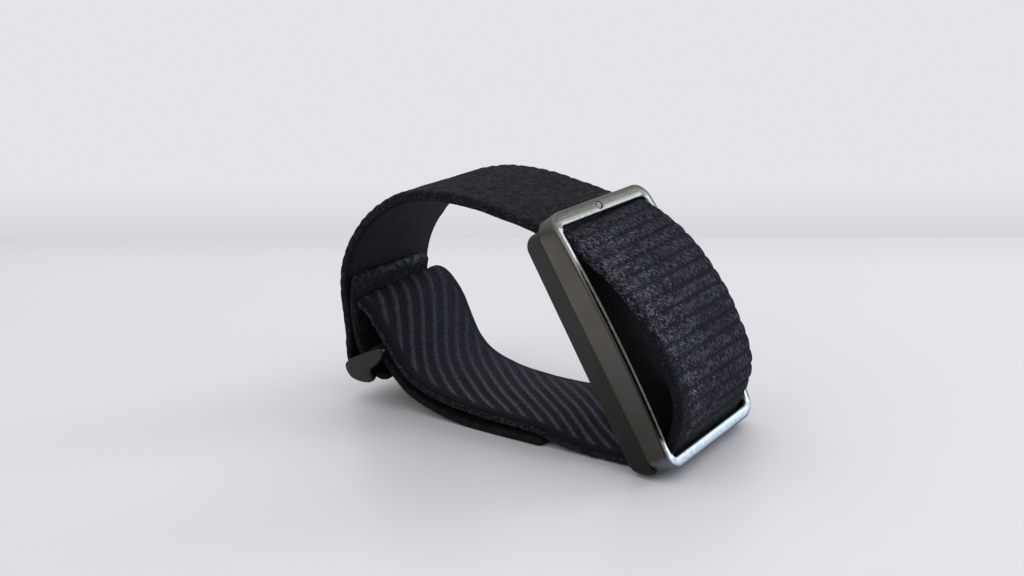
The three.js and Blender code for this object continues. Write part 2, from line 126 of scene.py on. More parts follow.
class Line:
    """A centreline with its tangent and normal by arc length; the normal faces the wrist."""

    def __init__(self, points, blur=0.5):
        c, s = spline(points)
        self.length = s[-1]
        self.s = np.arange(0, self.length + 0.05, 0.1)
        self.s[-1] = min(self.s[-1], self.length)
        x, z = np.interp(self.s, s, c[:, 0]), np.interp(self.s, s, c[:, 1])
        k = int(blur / 0.1) * 2 + 1
        w = np.hanning(k + 2)[1:-1]
        w /= w.sum()
        pad = lambda a: np.concatenate([2 * a[0] - a[k:0:-1], a, 2 * a[-1] - a[-2:-k - 2:-1]])
        self.x = np.convolve(pad(x), w, "same")[k:-k]
        self.z = np.convolve(pad(z), w, "same")[k:-k]
        dx, dz = np.gradient(self.x), np.gradient(self.z)
        l = np.hypot(dx, dz)
        self.tx, self.tz = dx / l, dz / l

    def at(self, s):
        f = lambda a: np.interp(s, self.s, a)
        tx, tz = f(self.tx), f(self.tz)
        l = np.hypot(tx, tz)
        return f(self.x), f(self.z), -tz / l, tx / l


# ---------------------------------------------------------------- mesh tools
def make(name, verts, faces, matrix=None, collection=None):
    me = bpy.data.meshes.new(name)
    me.from_pydata([tuple(map(float, v)) for v in verts], [], faces)
    me.validate()
    if matrix is not None:
        me.transform(matrix)
    ob = bpy.data.objects.new(name, me)
    bpy.context.scene.collection.objects.link(ob)
    return ob


def tidy(ob, angle=35, recalc=True, weld=0.0):
    bm = bmesh.new()
    bm.from_mesh(ob.data)
    if weld:
        bmesh.ops.remove_doubles(bm, verts=bm.verts, dist=weld)
        bmesh.ops.dissolve_degenerate(bm, edges=bm.edges, dist=weld * 0.5)
    if recalc:
        bmesh.ops.recalc_face_normals(bm, faces=bm.faces)
    bm.to_mesh(ob.data)
    bm.free()
    ob.data.shade_smooth()
    ob.data.set_sharp_from_angle(angle=math.radians(angle))
    ob.data.update()
    return ob


def to_metres(ob):
    ob.data.transform(Matrix.Scale(MM, 4))
    ob.data.update()
    return ob


def apply_modifiers(ob):
    bpy.context.view_layer.update()
    me = bpy.data.meshes.new_from_object(ob.evaluated_get(bpy.context.evaluated_depsgraph_get()))
    ob.modifiers.clear()
    old = ob.data
    ob.data = me
    bpy.data.meshes.remove(old)
    return ob


def boolean(ob, other, op):
    m = ob.modifiers.new("b", "BOOLEAN")
    m.operation, m.solver, m.object = op, "EXACT", other
    apply_modifiers(ob)
    bpy.data.objects.remove(other)
    return ob


def bevel(ob, width, segments=3, angle=35, apply=True):
    m = ob.modifiers.new("bevel", "BEVEL")
    m.width, m.segments, m.limit_method, m.angle_limit = width, segments, "ANGLE", math.radians(angle)
    m.use_clamp_overlap = True
    m.harden_normals = False
    m.miter_outer = "MITER_ARC"
    return apply_modifiers(ob) if apply else ob


def prism(name, outline, a, b, axis="y"):
    """A closed outline, given in the plane across the axis, extruded from a to b."""
    n = len(outline)
    put = {"y": lambda p, t: (p[0], t, p[1]), "n": lambda p, t: (p[0], p[1], t)}[axis]
    verts = [put(p, a) for p in outline] + [put(p, b) for p in outline]
    faces = [tuple(range(n)), tuple(range(2 * n - 1, n - 1, -1))]
    faces += [(i, n + i, n + (i + 1) % n, (i + 1) % n) for i in range(n)]
    ob = make(name, verts, faces)
    return tidy(ob)


def block(x0, x1, y0, y1, n0, n1):
    return prism("cut", [(x0, y0), (x1, y0), (x1, y1), (x0, y1)], n0, n1, "n")


def rounded(x0, x1, y0, y1, r, k=8):
    out = []
    for cx, cy, a in ((x1 - r, y0 + r, -90), (x1 - r, y1 - r, 0), (x0 + r, y1 - r, 90), (x0 + r, y0 + r, 180)):
        for i in range(k + 1):
            t = math.radians(a + 90 * i / k)
            out.append((cx + r * math.cos(t), cy + r * math.sin(t)))
    return out


def circle(cx, cy, r, k=40):
    return [(cx + r * math.cos(2 * math.pi * i / k), cy + r * math.sin(2 * math.pi * i / k)) for i in range(k)]


# ------------------------------------------------------------ material nodes
class Nodes:
    """A short way of writing shader nodes."""

    def __init__(self, name, rough, metallic=0.0, base=None, **sockets):
        self.mat = bpy.data.materials.new(name)
        self.mat.use_nodes = True
        self.t = self.mat.node_tree
        self.p = self.t.nodes["Principled BSDF"]
        if not hasattr(rough, "links"):
            self.p.inputs["Roughness"].default_value = rough
        self.p.inputs["Metallic"].default_value = metallic
        if base:
            self.p.inputs["Base Color"].default_value = (*base, 1)
        for k, v in sockets.items():
            self.p.inputs[k.replace("_", " ")].default_value = v

    def node(self, kind, **kw):
        n = self.t.nodes.new(kind)
        for k, v in kw.items():
            setattr(n, k, v)
        return n

    def put(self, socket, value):
        if hasattr(value, "is_output"):
            self.t.links.new(value, socket)
        elif isinstance(value, (tuple, list)) and len(value) == 3 and socket.type == "RGBA":
            socket.default_value = (*value, 1)
        else:
            socket.default_value = value

    def math(self, op, a, b=0.0, c=None, clamp=False):
        n = self.node("ShaderNodeMath", operation=op, use_clamp=clamp)
        self.put(n.inputs[0], a)
        self.put(n.inputs[1], b)
        if c is not None:
            self.put(n.inputs[2], c)
        return n.outputs[0]

    def ramp(self, x, lo, hi, a=0.0, b=1.0, kind="SMOOTHSTEP"):
        n = self.node("ShaderNodeMapRange", interpolation_type=kind)
        for s, v in zip(n.inputs[:5], (x, lo, hi, a, b)):
            self.put(s, v)
        return n.outputs[0]

    def mix(self, f, a, b):
        n = self.node("ShaderNodeMix", data_type="RGBA")
        self.put(n.inputs[0], f)
        self.put(n.inputs[6], a)
        self.put(n.inputs[7], b)
        return n.outputs[2]

    def attr(self, name):
        return self.node("ShaderNodeAttribute", attribute_name=name).outputs["Vector"]

    def split(self, v):
        n = self.node("ShaderNodeSeparateXYZ")
        self.put(n.inputs[0], v)
        return n.outputs

    def join(self, x, y, z=0.0):
        n = self.node("ShaderNodeCombineXYZ")
        for s, v in zip(n.inputs, (x, y, z)):
            self.put(s, v)
        return n.outputs[0]

    def coords(self):
        return self.node("ShaderNodeTexCoord").outputs["Object"]

    def noise(self, v, scale, detail=3.0, rough=0.5, out=0):
        n = self.node("ShaderNodeTexNoise")
        self.put(n.inputs["Vector"], v)
        n.inputs["Scale"].default_value = scale
        n.inputs["Detail"].default_value = detail
        n.inputs["Roughness"].default_value = rough
        return n.outputs[out]

    def cells(self, v, scale, feature="F1", out="Color", jitter=1.0):
        n = self.node("ShaderNodeTexVoronoi", feature=feature)
        self.put(n.inputs["Vector"], v)
        n.inputs["Scale"].default_value = scale
        n.inputs["Randomness"].default_value = jitter
        return n.outputs[out]

    def base(self, v):
        self.put(self.p.inputs["Base Color"], v)

    def rough(self, v):
        self.put(self.p.inputs["Roughness"], v)

    def bump(self, h, distance, strength=1.0):
        n = self.node("ShaderNodeBump")
        self.put(n.inputs["Height"], h)
        n.inputs["Distance"].default_value = distance
        n.inputs["Strength"].default_value = strength
        old = self.p.inputs["Normal"]
        if old.is_linked:
            self.put(n.inputs["Normal"], old.links[0].from_socket)
        self.t.links.new(n.outputs[0], self.p.inputs["Normal"])


def dress(ob, mat, body=None):
    ob.data.materials.clear()
    ob.data.materials.append(mat)
    if body:
        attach(ob, body)
    return ob


# ================================================================== the strap
MAIN_LINE, ANCHOR_LINE = Line(MAIN), Line(ANCHOR, 0.3)
L_MAIN, L_ANCHOR = MAIN_LINE.length, ANCHOR_LINE.length
RIB = 2.5            # pitch of the cross ribs on the outer face
TWILL = 2.5          # pitch of the slanting cords on the wrist face, about
CORD_EDGE = 1.9      # the cords stop this far from the selvage


def section(n_face, n_edge):
    """Points round a strip's section: (v from -1 to 1, h from -1 to 1, direction). h -1 is the outer face."""
    out = []
    for i in range(n_face + 1):
        out.append((-1 + 2 * i / n_face, -1.0, (0.0, -1.0)))
    for i in range(1, n_edge):
        t = math.pi * i / n_edge
        out.append((1.0, -math.cos(t), (math.sin(t), -math.cos(t))))
    for i in range(n_face + 1):
        out.append((1 - 2 * i / n_face, 1.0, (0.0, 1.0)))
    for i in range(1, n_edge):
        t = math.pi * i / n_edge
        out.append((-1.0, math.cos(t), (-math.sin(t), math.cos(t))))
    return out


def strip(name, line, stations, n_face, n_edge, width, thick, near, far, shift, relief, r_start, r_end, edge=0.62):
    """A woven strip lofted along a line. width, thick, near, far and shift are functions of arc length;
    near and far move its two edges along the normal. relief(s, v, side) is the surface's height."""
    s = np.asarray(stations, float)
    L = line.length
    x, z, nx, nz = line.at(s)
    sec = section(n_face, n_edge)
    v0 = np.array([p[0] for p in sec])
    h0 = np.array([p[1] for p in sec])
    dv = np.array([p[2][0] for p in sec])
    dn = np.array([p[2][1] for p in sec])
    W, T = width(s), thick(s)

    def cap(d, r):                       # plan rounding and end rounding
        c = np.where(d < r, r - np.sqrt(np.maximum(0, r * r - np.maximum(0, r - d) ** 2)), 0)
        e = np.sqrt(np.clip(1 - (1 - np.clip(d / 0.85, 0, 1)) ** 2, 0.02, 1))
        return c, e

    c0, e0 = cap(s, r_start)
    c1, e1 = cap(L - s, r_end)
    W = W - 2 * (c0 + c1)
    T = T * np.minimum(e0, e1)
    S, V0 = np.meshgrid(s, v0, indexing="ij")
    H0, DV, DN = (np.broadcast_to(a, S.shape) for a in (h0, dv, dn))
    half = (W / 2)[:, None] - edge
    V = V0 * half + DV * edge
    side = np.where(np.abs(DN) > 0.5, np.sign(DN), 0)
    F = np.clip((V / STRAP_W) + 0.5, 0, 1)
    lift = near(s)[:, None] * (1 - F) + far(s)[:, None] * F
    ends = np.minimum(e0, e1)[:, None]
    sgn = np.sign(DV)
    turn = np.where(np.abs(DV) > 1e-6, np.arccos(np.clip(-DN, -1, 1)) * 0.85, 0)
    G = np.where(np.abs(DV) > 1e-6, V0 * half + sgn * turn, V)
    R = relief(S, V, DN, (W / 2)[:, None], G) * ends
    h = H0 * T[:, None] / 2 + lift + DN * R
    Y = V + DV * R + shift(s)[:, None]
    X, Z = x[:, None] + nx[:, None] * h, z[:, None] + nz[:, None] * h
    n, m = S.shape
    verts = np.stack([X, Y, Z], -1).reshape(-1, 3)
    idx = np.arange(n * m).reshape(n, m)
    a, b = idx[:-1, :], idx[1:, :]
    quads = np.stack([a, b, np.roll(b, -1, 1), np.roll(a, -1, 1)], -1).reshape(-1, 4)
    me = bpy.data.meshes.new(name)
    me.from_pydata(verts.tolist(), [], quads.tolist() + [idx[0, ::-1].tolist()[::-1], idx[-1, ::-1].tolist()])
    flat = me.attributes.new("flat", "FLOAT_VECTOR", "POINT")
    flat.data.foreach_set("vector", np.stack([S, V, DN], -1).reshape(-1).astype(np.float32))
    girth = me.attributes.new("girth", "FLOAT_VECTOR", "POINT")
    girth.data.foreach_set("vector", np.stack([S, G, cord_phase(S, V)], -1).reshape(-1).astype(np.float32))
    me.transform(LOOP)
    me.update()
    ob = bpy.data.objects.new(name, me)
    bpy.context.scene.collection.objects.link(ob)
    bm = bmesh.new()
    bm.from_mesh(me)
    bmesh.ops.triangulate(bm, faces=[f for f in bm.faces if len(f.verts) > 4])
    bmesh.ops.recalc_face_normals(bm, faces=bm.faces)
    bm.to_mesh(me)
    bm.free()
    me.shade_smooth()
    return to_metres(ob)


def table(*pairs):
    xs, ys = zip(*pairs)

    def f(s):
        grid = np.arange(-20, 260, 0.5)
        y = np.interp(grid, xs, ys)
        w = np.hanning(13)
        y = np.convolve(y, w / w.sum(), "same")
        return np.interp(s, grid, y)
    return f


# height of the ribs along the strap: full in the slack bulge, soft where it is stretched
rib_height = table((0, 0.12), (60, 0.12), (74, 0.18), (80, 0.34), (86, 0.40), (112, 0.40), (119, 0.26), (124, 0.18), (134, 0.22), (160, 0.25), (200, 0.25), (210, 0.14), (232, 0.12))


_cs = np.arange(-5, 260, 0.5)                                # spacing along v and slope of the cords, by station
_cgap = np.interp(_cs, [0, 14, 30, 42, 260], [3.35, 3.3, 2.9, 2.55, 2.55])
_cslope = np.interp(_cs, [0, 14, 30, 46, 260], [0.56, 0.58, 0.66, 0.70, 0.70])
_cint = np.concatenate([[0], np.cumsum((_cslope / _cgap)[:-1] * 0.5)])


def cord_phase(S, V):
    return np.interp(S, _cs, _cint) + V / np.interp(S, _cs, _cgap)


def strap_relief(S, V, DN, half, G):
    edge = half - np.abs(V)
    out = smooth(-0.35, 0.5, -DN)
    inn = smooth(0.3, 0.8, DN)
    # outer face and edges: cross ribs, each wound with short slanting stitches
    ph = S / RIB + 0.05 * wave2(S / 9, G / 6, 3) + 0.03 * wave2(S / 2.5, G / 2.2, 5)
    k = np.floor(ph)
    f = ph - k
    ridge = np.sqrt(np.maximum(0, 1 - (2 * f - 1) ** 2 * 0.96))
    A = rib_height(S) * (1 + 0.22 * (2 * hash1(k + 40) - 1))
    wind = np.cos(2 * np.pi * (G / 0.8 + 0.6 * (f - 0.5) + hash1(k + 7)))
    rough = wave2(S / 0.55, G / 0.45, 8)
    turn_in = 1 - 0.45 * smooth(0.8, 0.0, edge)
    outer = (A * (ridge - 0.6) + 0.05 * wind * ridge + 0.055 * rough) * turn_in
    # wrist face: thin slanting cords standing on a flat knit, stopping short of the edge
    w = cord_phase(S, V) + 0.035 * wave2(S / 7, V / 5, 11)
    g = np.abs(w - np.round(w)) * TWILL * 0.83
    along = S * 0.84 - V * 0.54
    stop = smooth(CORD_EDGE - 0.5, CORD_EDGE + 0.3, edge) * (1 - 0.9 * smooth(80, 130, S))
    cord = np.exp(-(g / 0.46) ** 2) * (0.21 + 0.07 * np.cos(2 * np.pi * along / 0.95 + 4 * hash1(np.round(w) + 9))) * stop
    inner = cord + 0.03 * wave2(S / 0.7, V / 0.6, 18)
    lumps = 0.08 * wave2(S / 5.5, V / 5.0, 21) + 0.04 * wave2(S / 2.1, V / 1.9, 23)
    return out * outer + inn * inner + lumps * (out + inn)


def knit_material(name, dark, mid, light, fleck_amount, cords=True):
    g = Nodes(name, 0.9, 0.0, Sheen_Weight=0.02, Sheen_Roughness=0.5, Specular_IOR_Level=0.06)
    s, v, d = g.split(g.attr("flat"))
    _, q, w = g.split(g.attr("girth"))
    inner = g.ramp(d, 0.45, 0.8)
    slack = g.math("MULTIPLY", g.ramp(s, 72, 82), g.ramp(s, 128, 116))      # the full, soft stretch over the pod
    # rib phase, as in the mesh
    f = g.math("FRACT", g.math("DIVIDE", s, RIB))
    off = g.math("ABSOLUTE", g.math("SUBTRACT", f, 0.5))
    ridge = g.ramp(off, 0.5, 0.2)
    groove_shade = g.ramp(off, 0.32, 0.46)
    # heathered yarn: short slanting fibres wound round each rib
    k = g.math("FLOOR", g.math("DIVIDE", s, RIB))
    lean = g.math("ADD", q, g.math("MULTIPLY", f, 0.7))
    uv = g.join(g.math("ADD", g.math("MULTIPLY", lean, 2.3), g.math("MULTIPLY", k, 5.3)), g.math("MULTIPLY", s, 1.15), 0.0)
    yarn = g.noise(uv, 1.0, 3, 0.6)
    hair = g.noise(g.join(g.math("ADD", g.math("MULTIPLY", lean, 4.0), g.math("MULTIPLY", k, 3.1)), g.math("MULTIPLY", s, 2.1), 4.0), 1.0, 3, 0.6)
    fine = g.noise(g.join(s, g.math("MULTIPLY", q, 1.6), d), 3.6, 4, 0.65)
    patch = g.noise(g.join(s, q, 0.0), 0.22, 3, 0.55)
    near = g.ramp(q, 7.0, -11.0, 0.0, 1.0)
    # body tone, with painted light on the rib crests and painted shade in the grooves
    body = g.math("MULTIPLY", g.ramp(yarn, 0.40, 0.62), g.math("ADD", g.math("MULTIPLY", ridge, 0.55), 0.45))
    body = g.math("MULTIPLY", body, g.ramp(patch, 0.32, 0.66, 0.45, 1.25))
    blotch = g.noise(g.join(s, q, 2.0), 0.75, 3, 0.6)
    plain = g.math("MULTIPLY", g.ramp(yarn, 0.40, 0.59), g.ramp(blotch, 0.36, 0.62, 0.08, 0.72))
    mixed = g.math("ADD", g.math("MULTIPLY", body, slack), g.math("MULTIPLY", plain, g.math("SUBTRACT", 1.0, slack)))
    # the stretched parts are duller and a little browner
    dull = g.ramp(s, 118, 130)
    tone = g.mix(dull, mid, tuple(c * k for c, k in zip(mid, (0.78, 0.72, 0.52))))
    face_out = g.mix(g.math("MULTIPLY", mixed, 1.0, clamp=True), dark, tone)
    # painted shade: dark lines between the ribs, broken by the yarn that crosses them
    broken = g.math("MULTIPLY", groove_shade, g.ramp(hair, 0.62, 0.42, 0.35, 1.0))
    face_out = g.mix(g.math("MULTIPLY", broken, g.math("ADD", g.math("MULTIPLY", slack, 0.45), 0.25)), face_out, dark)
    # pale fibres, thickest towards the near selvage of the slack stretch
    much = g.math("ADD", g.math("MULTIPLY", near, 0.085), g.math("MULTIPLY", ridge, 0.02))
    much = g.math("ADD", much, g.ramp(g.noise(g.join(s, q, 7.0), 0.55, 2, 0.5), 0.35, 0.65, -0.03, 0.03))
    much = g.math("MULTIPLY", much, g.math("ADD", g.math("MULTIPLY", slack, 0.55), 0.45))
    cut = g.math("SUBTRACT", 0.635, g.math("MULTIPLY", much, fleck_amount))
    fleck = g.ramp(g.math("ADD", g.math("MULTIPLY", hair, 0.75), g.math("MULTIPLY", yarn, 0.25)), cut, g.math("ADD", cut, 0.08))
    face_out = g.mix(g.math("MULTIPLY", fleck, g.math("ADD", g.math("MULTIPLY", slack, 0.45), 0.4)), face_out, light)
    # painted shade: the near selvage of the slack stretch is darkened, in a band widest towards the bottom bar
    lim = g.ramp(s, 80, 104, -7.6, -12.2, kind="LINEAR")
    reach = g.math("ADD", v, g.ramp(g.noise(g.join(s, q, 11.0), 0.8, 3, 0.6), 0.3, 0.7, -0.9, 0.9))
    shade = g.ramp(reach, g.math("ADD", lim, 0.7), g.math("SUBTRACT", lim, 0.9))
    shade = g.math("MULTIPLY", shade, g.math("MULTIPLY", g.ramp(s, 68, 76), g.ramp(s, 110, 103)))
    face_out = g.mix(g.math("MULTIPLY", shade, 0.85), face_out, dark)
    # painted shade: the bulge is darker towards the bottom bar
    face_out = g.mix(g.math("MULTIPLY", g.ramp(s, 93, 79, 0.0, 0.4), g.ramp(s, 66, 72)), face_out, dark)
    # wrist face: thin pale cords on a dark knit, stopping short of the selvages
    gap = g.math("ABSOLUTE", g.math("SUBTRACT", g.math("FRACT", g.math("ADD", w, 0.5)), 0.5))
    line = g.ramp(gap, g.ramp(g.noise(g.join(s, v, 5.0), 2.2, 2, 0.6), 0.3, 0.7, 0.20, 0.38), 0.04)
    rope = g.noise(g.join(g.math("MULTIPLY", s, 1.1), g.math("MULTIPLY", v, 2.0), 3.0), 1.3, 3, 0.6)
    line = g.math("MULTIPLY", line, g.ramp(rope, 0.34, 0.60, 0.2, 1.0))
    line = g.math("MULTIPLY", line, g.ramp(g.math("ABSOLUTE", v), 10.7, 9.7))
    line = g.math("MULTIPLY", line, g.ramp(s, 150, 80, 0.0, 1.0))
    line = g.math("MULTIPLY", line, g.ramp(v, 11.0, -2.0, 0.5, 1.0))
    line = g.math("MULTIPLY", line, g.ramp(s, 18, 36, 0.55, 1.0))
    face_in = g.mix(g.math("MULTIPLY", g.ramp(fine, 0.35, 0.7), g.ramp(v, -8.0, 8.0, 0.35, 0.75)), dark, mid)
    band = g.ramp(g.math("ABSOLUTE", v), 9.9, 10.8)
    face_in = g.mix(g.math("MULTIPLY", band, g.ramp(v, 2.0, -2.0, 0.2, 0.8)), face_in, dark)
    if cords:
        face_in = g.mix(g.math("MULTIPLY", line, 0.5), face_in, light)
    col = g.mix(inner, face_out, face_in)
    hue = g.noise(g.join(s, q, 13.0), 0.16, 3, 0.6)
    tinted = g.node("ShaderNodeMix", data_type="RGBA", blend_type="MULTIPLY")
    tinted.inputs[0].default_value = 1.0
    g.put(tinted.inputs[6], col)
    g.put(tinted.inputs[7], g.mix(g.ramp(hue, 0.34, 0.66), (0.94, 1.01, 1.06), (1.06, 0.985, 1.01)))
    col = tinted.outputs[2]
    rough = g.ramp(fine, 0.2, 0.8, 0.78, 0.98)
    if cords:                            # the heat-sealed tail end is smoother, and its paler bluish colour is a painted highlight, brightest towards the far edge
        blot = g.noise(g.join(g.math("MULTIPLY", s, 1.2), q, 9.0), 0.55, 3, 0.6)
        seal_and_glint = g.math("MULTIPLY", g.ramp(g.math("ADD", s, g.math("MULTIPLY", blot, 1.6)), L_MAIN - 0.9, L_MAIN + 0.5), g.ramp(blot, 0.42, 0.60, 0.0, 1.0))
        col = g.mix(g.math("MULTIPLY", seal_and_glint, g.ramp(v, -9.0, 6.5, 0.15, 0.8)), col, (0.085, 0.105, 0.130))
        rough = g.math("SUBTRACT", rough, g.math("MULTIPLY", seal_and_glint, 0.3))
    g.base(col)
    g.rough(rough)
    h = g.math("ADD", g.math("MULTIPLY", hair, 0.9), g.math("MULTIPLY", fine, 0.5))
    g.bump(h, 0.00016, 0.8)
    fuzz = g.noise(g.coords(), 9000, 2, 0.6)
    g.bump(fuzz, 0.00004, 0.5)
    return g.mat


KNIT = knit_material("knit_main", (0.0085, 0.0086, 0.0118), (0.056, 0.0565, 0.074), (0.20, 0.20, 0.235), 1.0)
KNIT_ANCHOR = knit_material("knit_anchor", (0.0085, 0.0086, 0.0094), (0.028, 0.0285, 0.030), (0.07, 0.07, 0.075), 0.2, cords=False)

# how the strap's two edges stand off its centreline: it lies slightly twisted
near_main = table((0, -0.2), (4, -0.2), (8, 0.2), (12, 0.5), (18, 0.6), (24, 0.8), (30, 0.85), (40, 0.8), (46, 0.6), (50, 0.45), (54, 0.15), (58, -0.12), (65, -0.12), (71, 0.0),
                  (86, 0.0), (95, 0.25), (104, 0.15), (109, 0.25), (114, 0.5), (118, 0.55), (121, 0.2), (125, 0.0), (150, 0.0), (157, -0.2), (163, -0.6), (170, -1.0), (178, -1.0), (184, -0.6), (190, -0.1), (196, 0.1), (202, 0.0), (232, 0.0))
far_main = table((0, 0.9), (4, 1.3), (8, 1.3), (12, 0.8), (16, 0.0), (22, -0.7), (30, -0.85), (46, -0.8), (60, -0.4), (68, 0.0), (86, 0.0), (104, -0.2), (112, -0.6), (117, -1.1), (121, -1.0), (125, -0.3),
                 (130, -0.1), (140, -0.3), (150, -0.4), (162, -0.6), (170, -0.7), (178, -0.7), (184, -0.4), (190, 0.0), (196, 0.1), (208, 0.0), (214, -0.2), (222, -0.6), (232, -0.7))
shift_main = table((0, 0.1), (8, 0.35), (14, 0.2), (20, -0.2), (25, -0.35), (50, -0.35), (62, -0.1), (70, 0.0), (84, 0.0), (92, 0.3), (112, 0.3), (120, 0.0), (208, 0.0), (216, -1.1), (240, -1.3))
thick_main = table((0, 1.75), (60, 1.7), (70, 1.6), (76, 1.6), (82, 1.85), (112, 1.85), (118, 1.7), (126, 1.7), (132, 1.95), (160, 2.0), (184, 2.0), (195, 1.7), (199, 1.5), (212, 1.5), (227, 1.6))
width_main = table((0, 24.0), (10, 24.4), (20, 24.2), (70, 24.1), (76, 23.9), (90, 24.5), (110, 24.5), (120, 23.9), (130, 24.2), (200, 24.0), (211, 22.6), (216, 21.0), (232, 20.8))

stations = [np.arange(0, 1.0, 0.12), np.arange(1.0, 66, 0.5), np.arange(66, 78, 0.42), np.arange(78, 122, 0.27), np.arange(122, 132, 0.42),
            np.arange(132, 196, 0.56), np.arange(196, 214, 0.42), np.arange(214, L_MAIN - 1.0, 0.6), np.arange(L_MAIN - 1.0, L_MAIN - 0.02, 0.12), [L_MAIN]]
strap = strip("strap_knit", MAIN_LINE, np.concatenate(stations), 92, 8, width_main, thick_main, near_main, far_main, shift_main, strap_relief, 1.6, 1.8)
dress(strap, KNIT, "band")
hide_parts("strap_band")


def anchor_relief(S, V, DN, half, G):
    edge = half - np.abs(V)
    body = smooth(0.7, 1.6, edge)
    out, inn = smooth(0.3, 0.8, -DN), smooth(0.3, 0.8, DN)
    f = S / 1.25 - np.floor(S / 1.25)
    rib = 0.05 * np.sqrt(np.maximum(0, 1 - (2 * f - 1) ** 2))
    wind = 0.025 * np.cos(2 * np.pi * (V / 0.9 + 0.5 * np.floor(S / 1.25)))
    chain = 0.07 * np.sin(np.pi * S / 1.1) ** 2
    return body * (rib + wind) * (out + inn) + (1 - body) * chain + 0.03 * wave2(S / 4, V / 4, 31) * (out + inn)


near_anchor = table((0, 0.0), (8, 0.0), (14, 0.2), (22, 0.5), (32, 0.55), (42, 0.2), (48, 0.0), (70, 0.0))
shift_anchor = table((0, -0.7), (10, -0.6), (18, -0.35), (30, -0.3), (45, 0.0), (70, 0.0))
far_anchor = table((0, 0.0), (70, 0.0))
st = [np.arange(0, 1.0, 0.12), np.arange(1.0, 42, 0.6), np.arange(42, L_ANCHOR - 1.0, 0.35), np.arange(L_ANCHOR - 1.0, L_ANCHOR - 0.02, 0.12), [L_ANCHOR]]
anchor = strip("anchor_knit", ANCHOR_LINE, np.concatenate(st), 60, 6, lambda s: 24.0 + 0 * s, lambda s: 1.3 + 0 * s, near_anchor, far_anchor,
               shift_anchor, anchor_relief, 1.5, 0.8, 0.45)
dress(anchor, KNIT_ANCHOR, "band")
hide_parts("anchor_strap")


# ---------------------------------------------------------------- stitching
def stitches(name, line, rows, near, far, shift, side, lift, radius=0.11, mat=None):
    """Thread runs lying on a strip's face: rows of ((s, v) start, (s, v) end, stitch length)."""
    verts, faces = [], []
    ring = 8
    for (s0, v0), (s1, v1), step in rows:
        run = math.hypot(s1 - s0, v1 - v0)
        n = max(1, int(round(run / step)))
        for i in range(n):
            a, b = (i + 0.12) / n, (i + 0.88) / n
            pts = []
            for k in range(7):
                t = a + (b - a) * k / 6
                sv = (s0 + (s1 - s0) * t, v0 + (v1 - v0) * t)
                x, z, nx, nz = line.at(np.array([sv[0]]))
                f = sv[1] / STRAP_W + 0.5
                off = near(sv[0]) * (1 - f) + far(sv[0]) * f
                h = side * (lift + 0.10 * math.sin(math.pi * k / 6) - 0.09) + off
                pts.append(Vector((float(x[0] + nx[0] * h), float(sv[1] + shift(sv[0])), float(z[0] + nz[0] * h))))
            base = len(verts)
            for k, p in enumerate(pts):
                d = (pts[min(k + 1, 6)] - pts[max(k - 1, 0)]).normalized()
                e1 = d.orthogonal().normalized()
                e2 = d.cross(e1)
                r = radius * (0.35 if k in (0, 6) else 1.0)
                for j in range(ring):
                    q = 2 * math.pi * j / ring
                    verts.append(p + e1 * (r * math.cos(q)) + e2 * (r * math.sin(q)))
            for k in range(6):
                for j in range(ring):
                    c, d2 = base + k * ring + j, base + k * ring + (j + 1) % ring
                    faces.append((c, d2, d2 + ring, c + ring))
            faces.append(tuple(base + j for j in range(ring))[::-1])
            faces.append(tuple(base + 6 * ring + j for j in range(ring)))
    ob = make(name, verts, faces, LOOP)
    tidy(ob, 60)
    to_metres(ob)
    return ob


g = Nodes("thread", 0.55, 0.0, Sheen_Weight=0.2)
n1 = g.noise(g.coords(), 5200, 3, 0.6)
g.base(g.mix(g.ramp(n1, 0.3, 0.7), (0.010, 0.010, 0.012), (0.05, 0.05, 0.055)))
g.bump(n1, 0.00003, 0.6)
THREAD = g.mat

zero = lambda s: 0.0 * np.asarray(s, float)
fa = lambda f: (lambda s: float(f(np.array([s]))[0]) if np.ndim(s) == 0 else f(s))
rows = []
# box and cross at the anchor's sewn tip
rows += [((1.6, -9.4), (1.6, 9.4), 1.5), ((9.6, -9.4), (9.6, 9.4), 1.5), ((1.6, -9.4), (9.6, -9.4), 1.5), ((1.6, 9.4), (9.6, 9.4), 1.5),
         ((1.6, -9.4), (9.6, 9.4), 1.5), ((1.6, 9.4), (9.6, -9.4), 1.5)]
seam_tip = stitches("stitching_anchor_tip", ANCHOR_LINE, rows, fa(near_anchor), fa(far_anchor), fa(shift_anchor), -1, 0.70)
dress(seam_tip, THREAD, "band")

# ============================================================= the clasp frame
FRAME_HALF_W, FRAME_U0, FRAME_U1, FRAME_R = 14.5, -23.2, 22.7, 3.4
WIN_L, WIN_W, WIN_R = 20.6, 12.5, 0.9
FRAME_BACK, BAR_BACK = -3.235, -1.3


def crown(u):
    k = (u - (FRAME_U0 + FRAME_U1) / 2) / ((FRAME_U1 - FRAME_U0) / 2 + 0.5)
    return 0.3 + 1.1 * (1 - k * k)


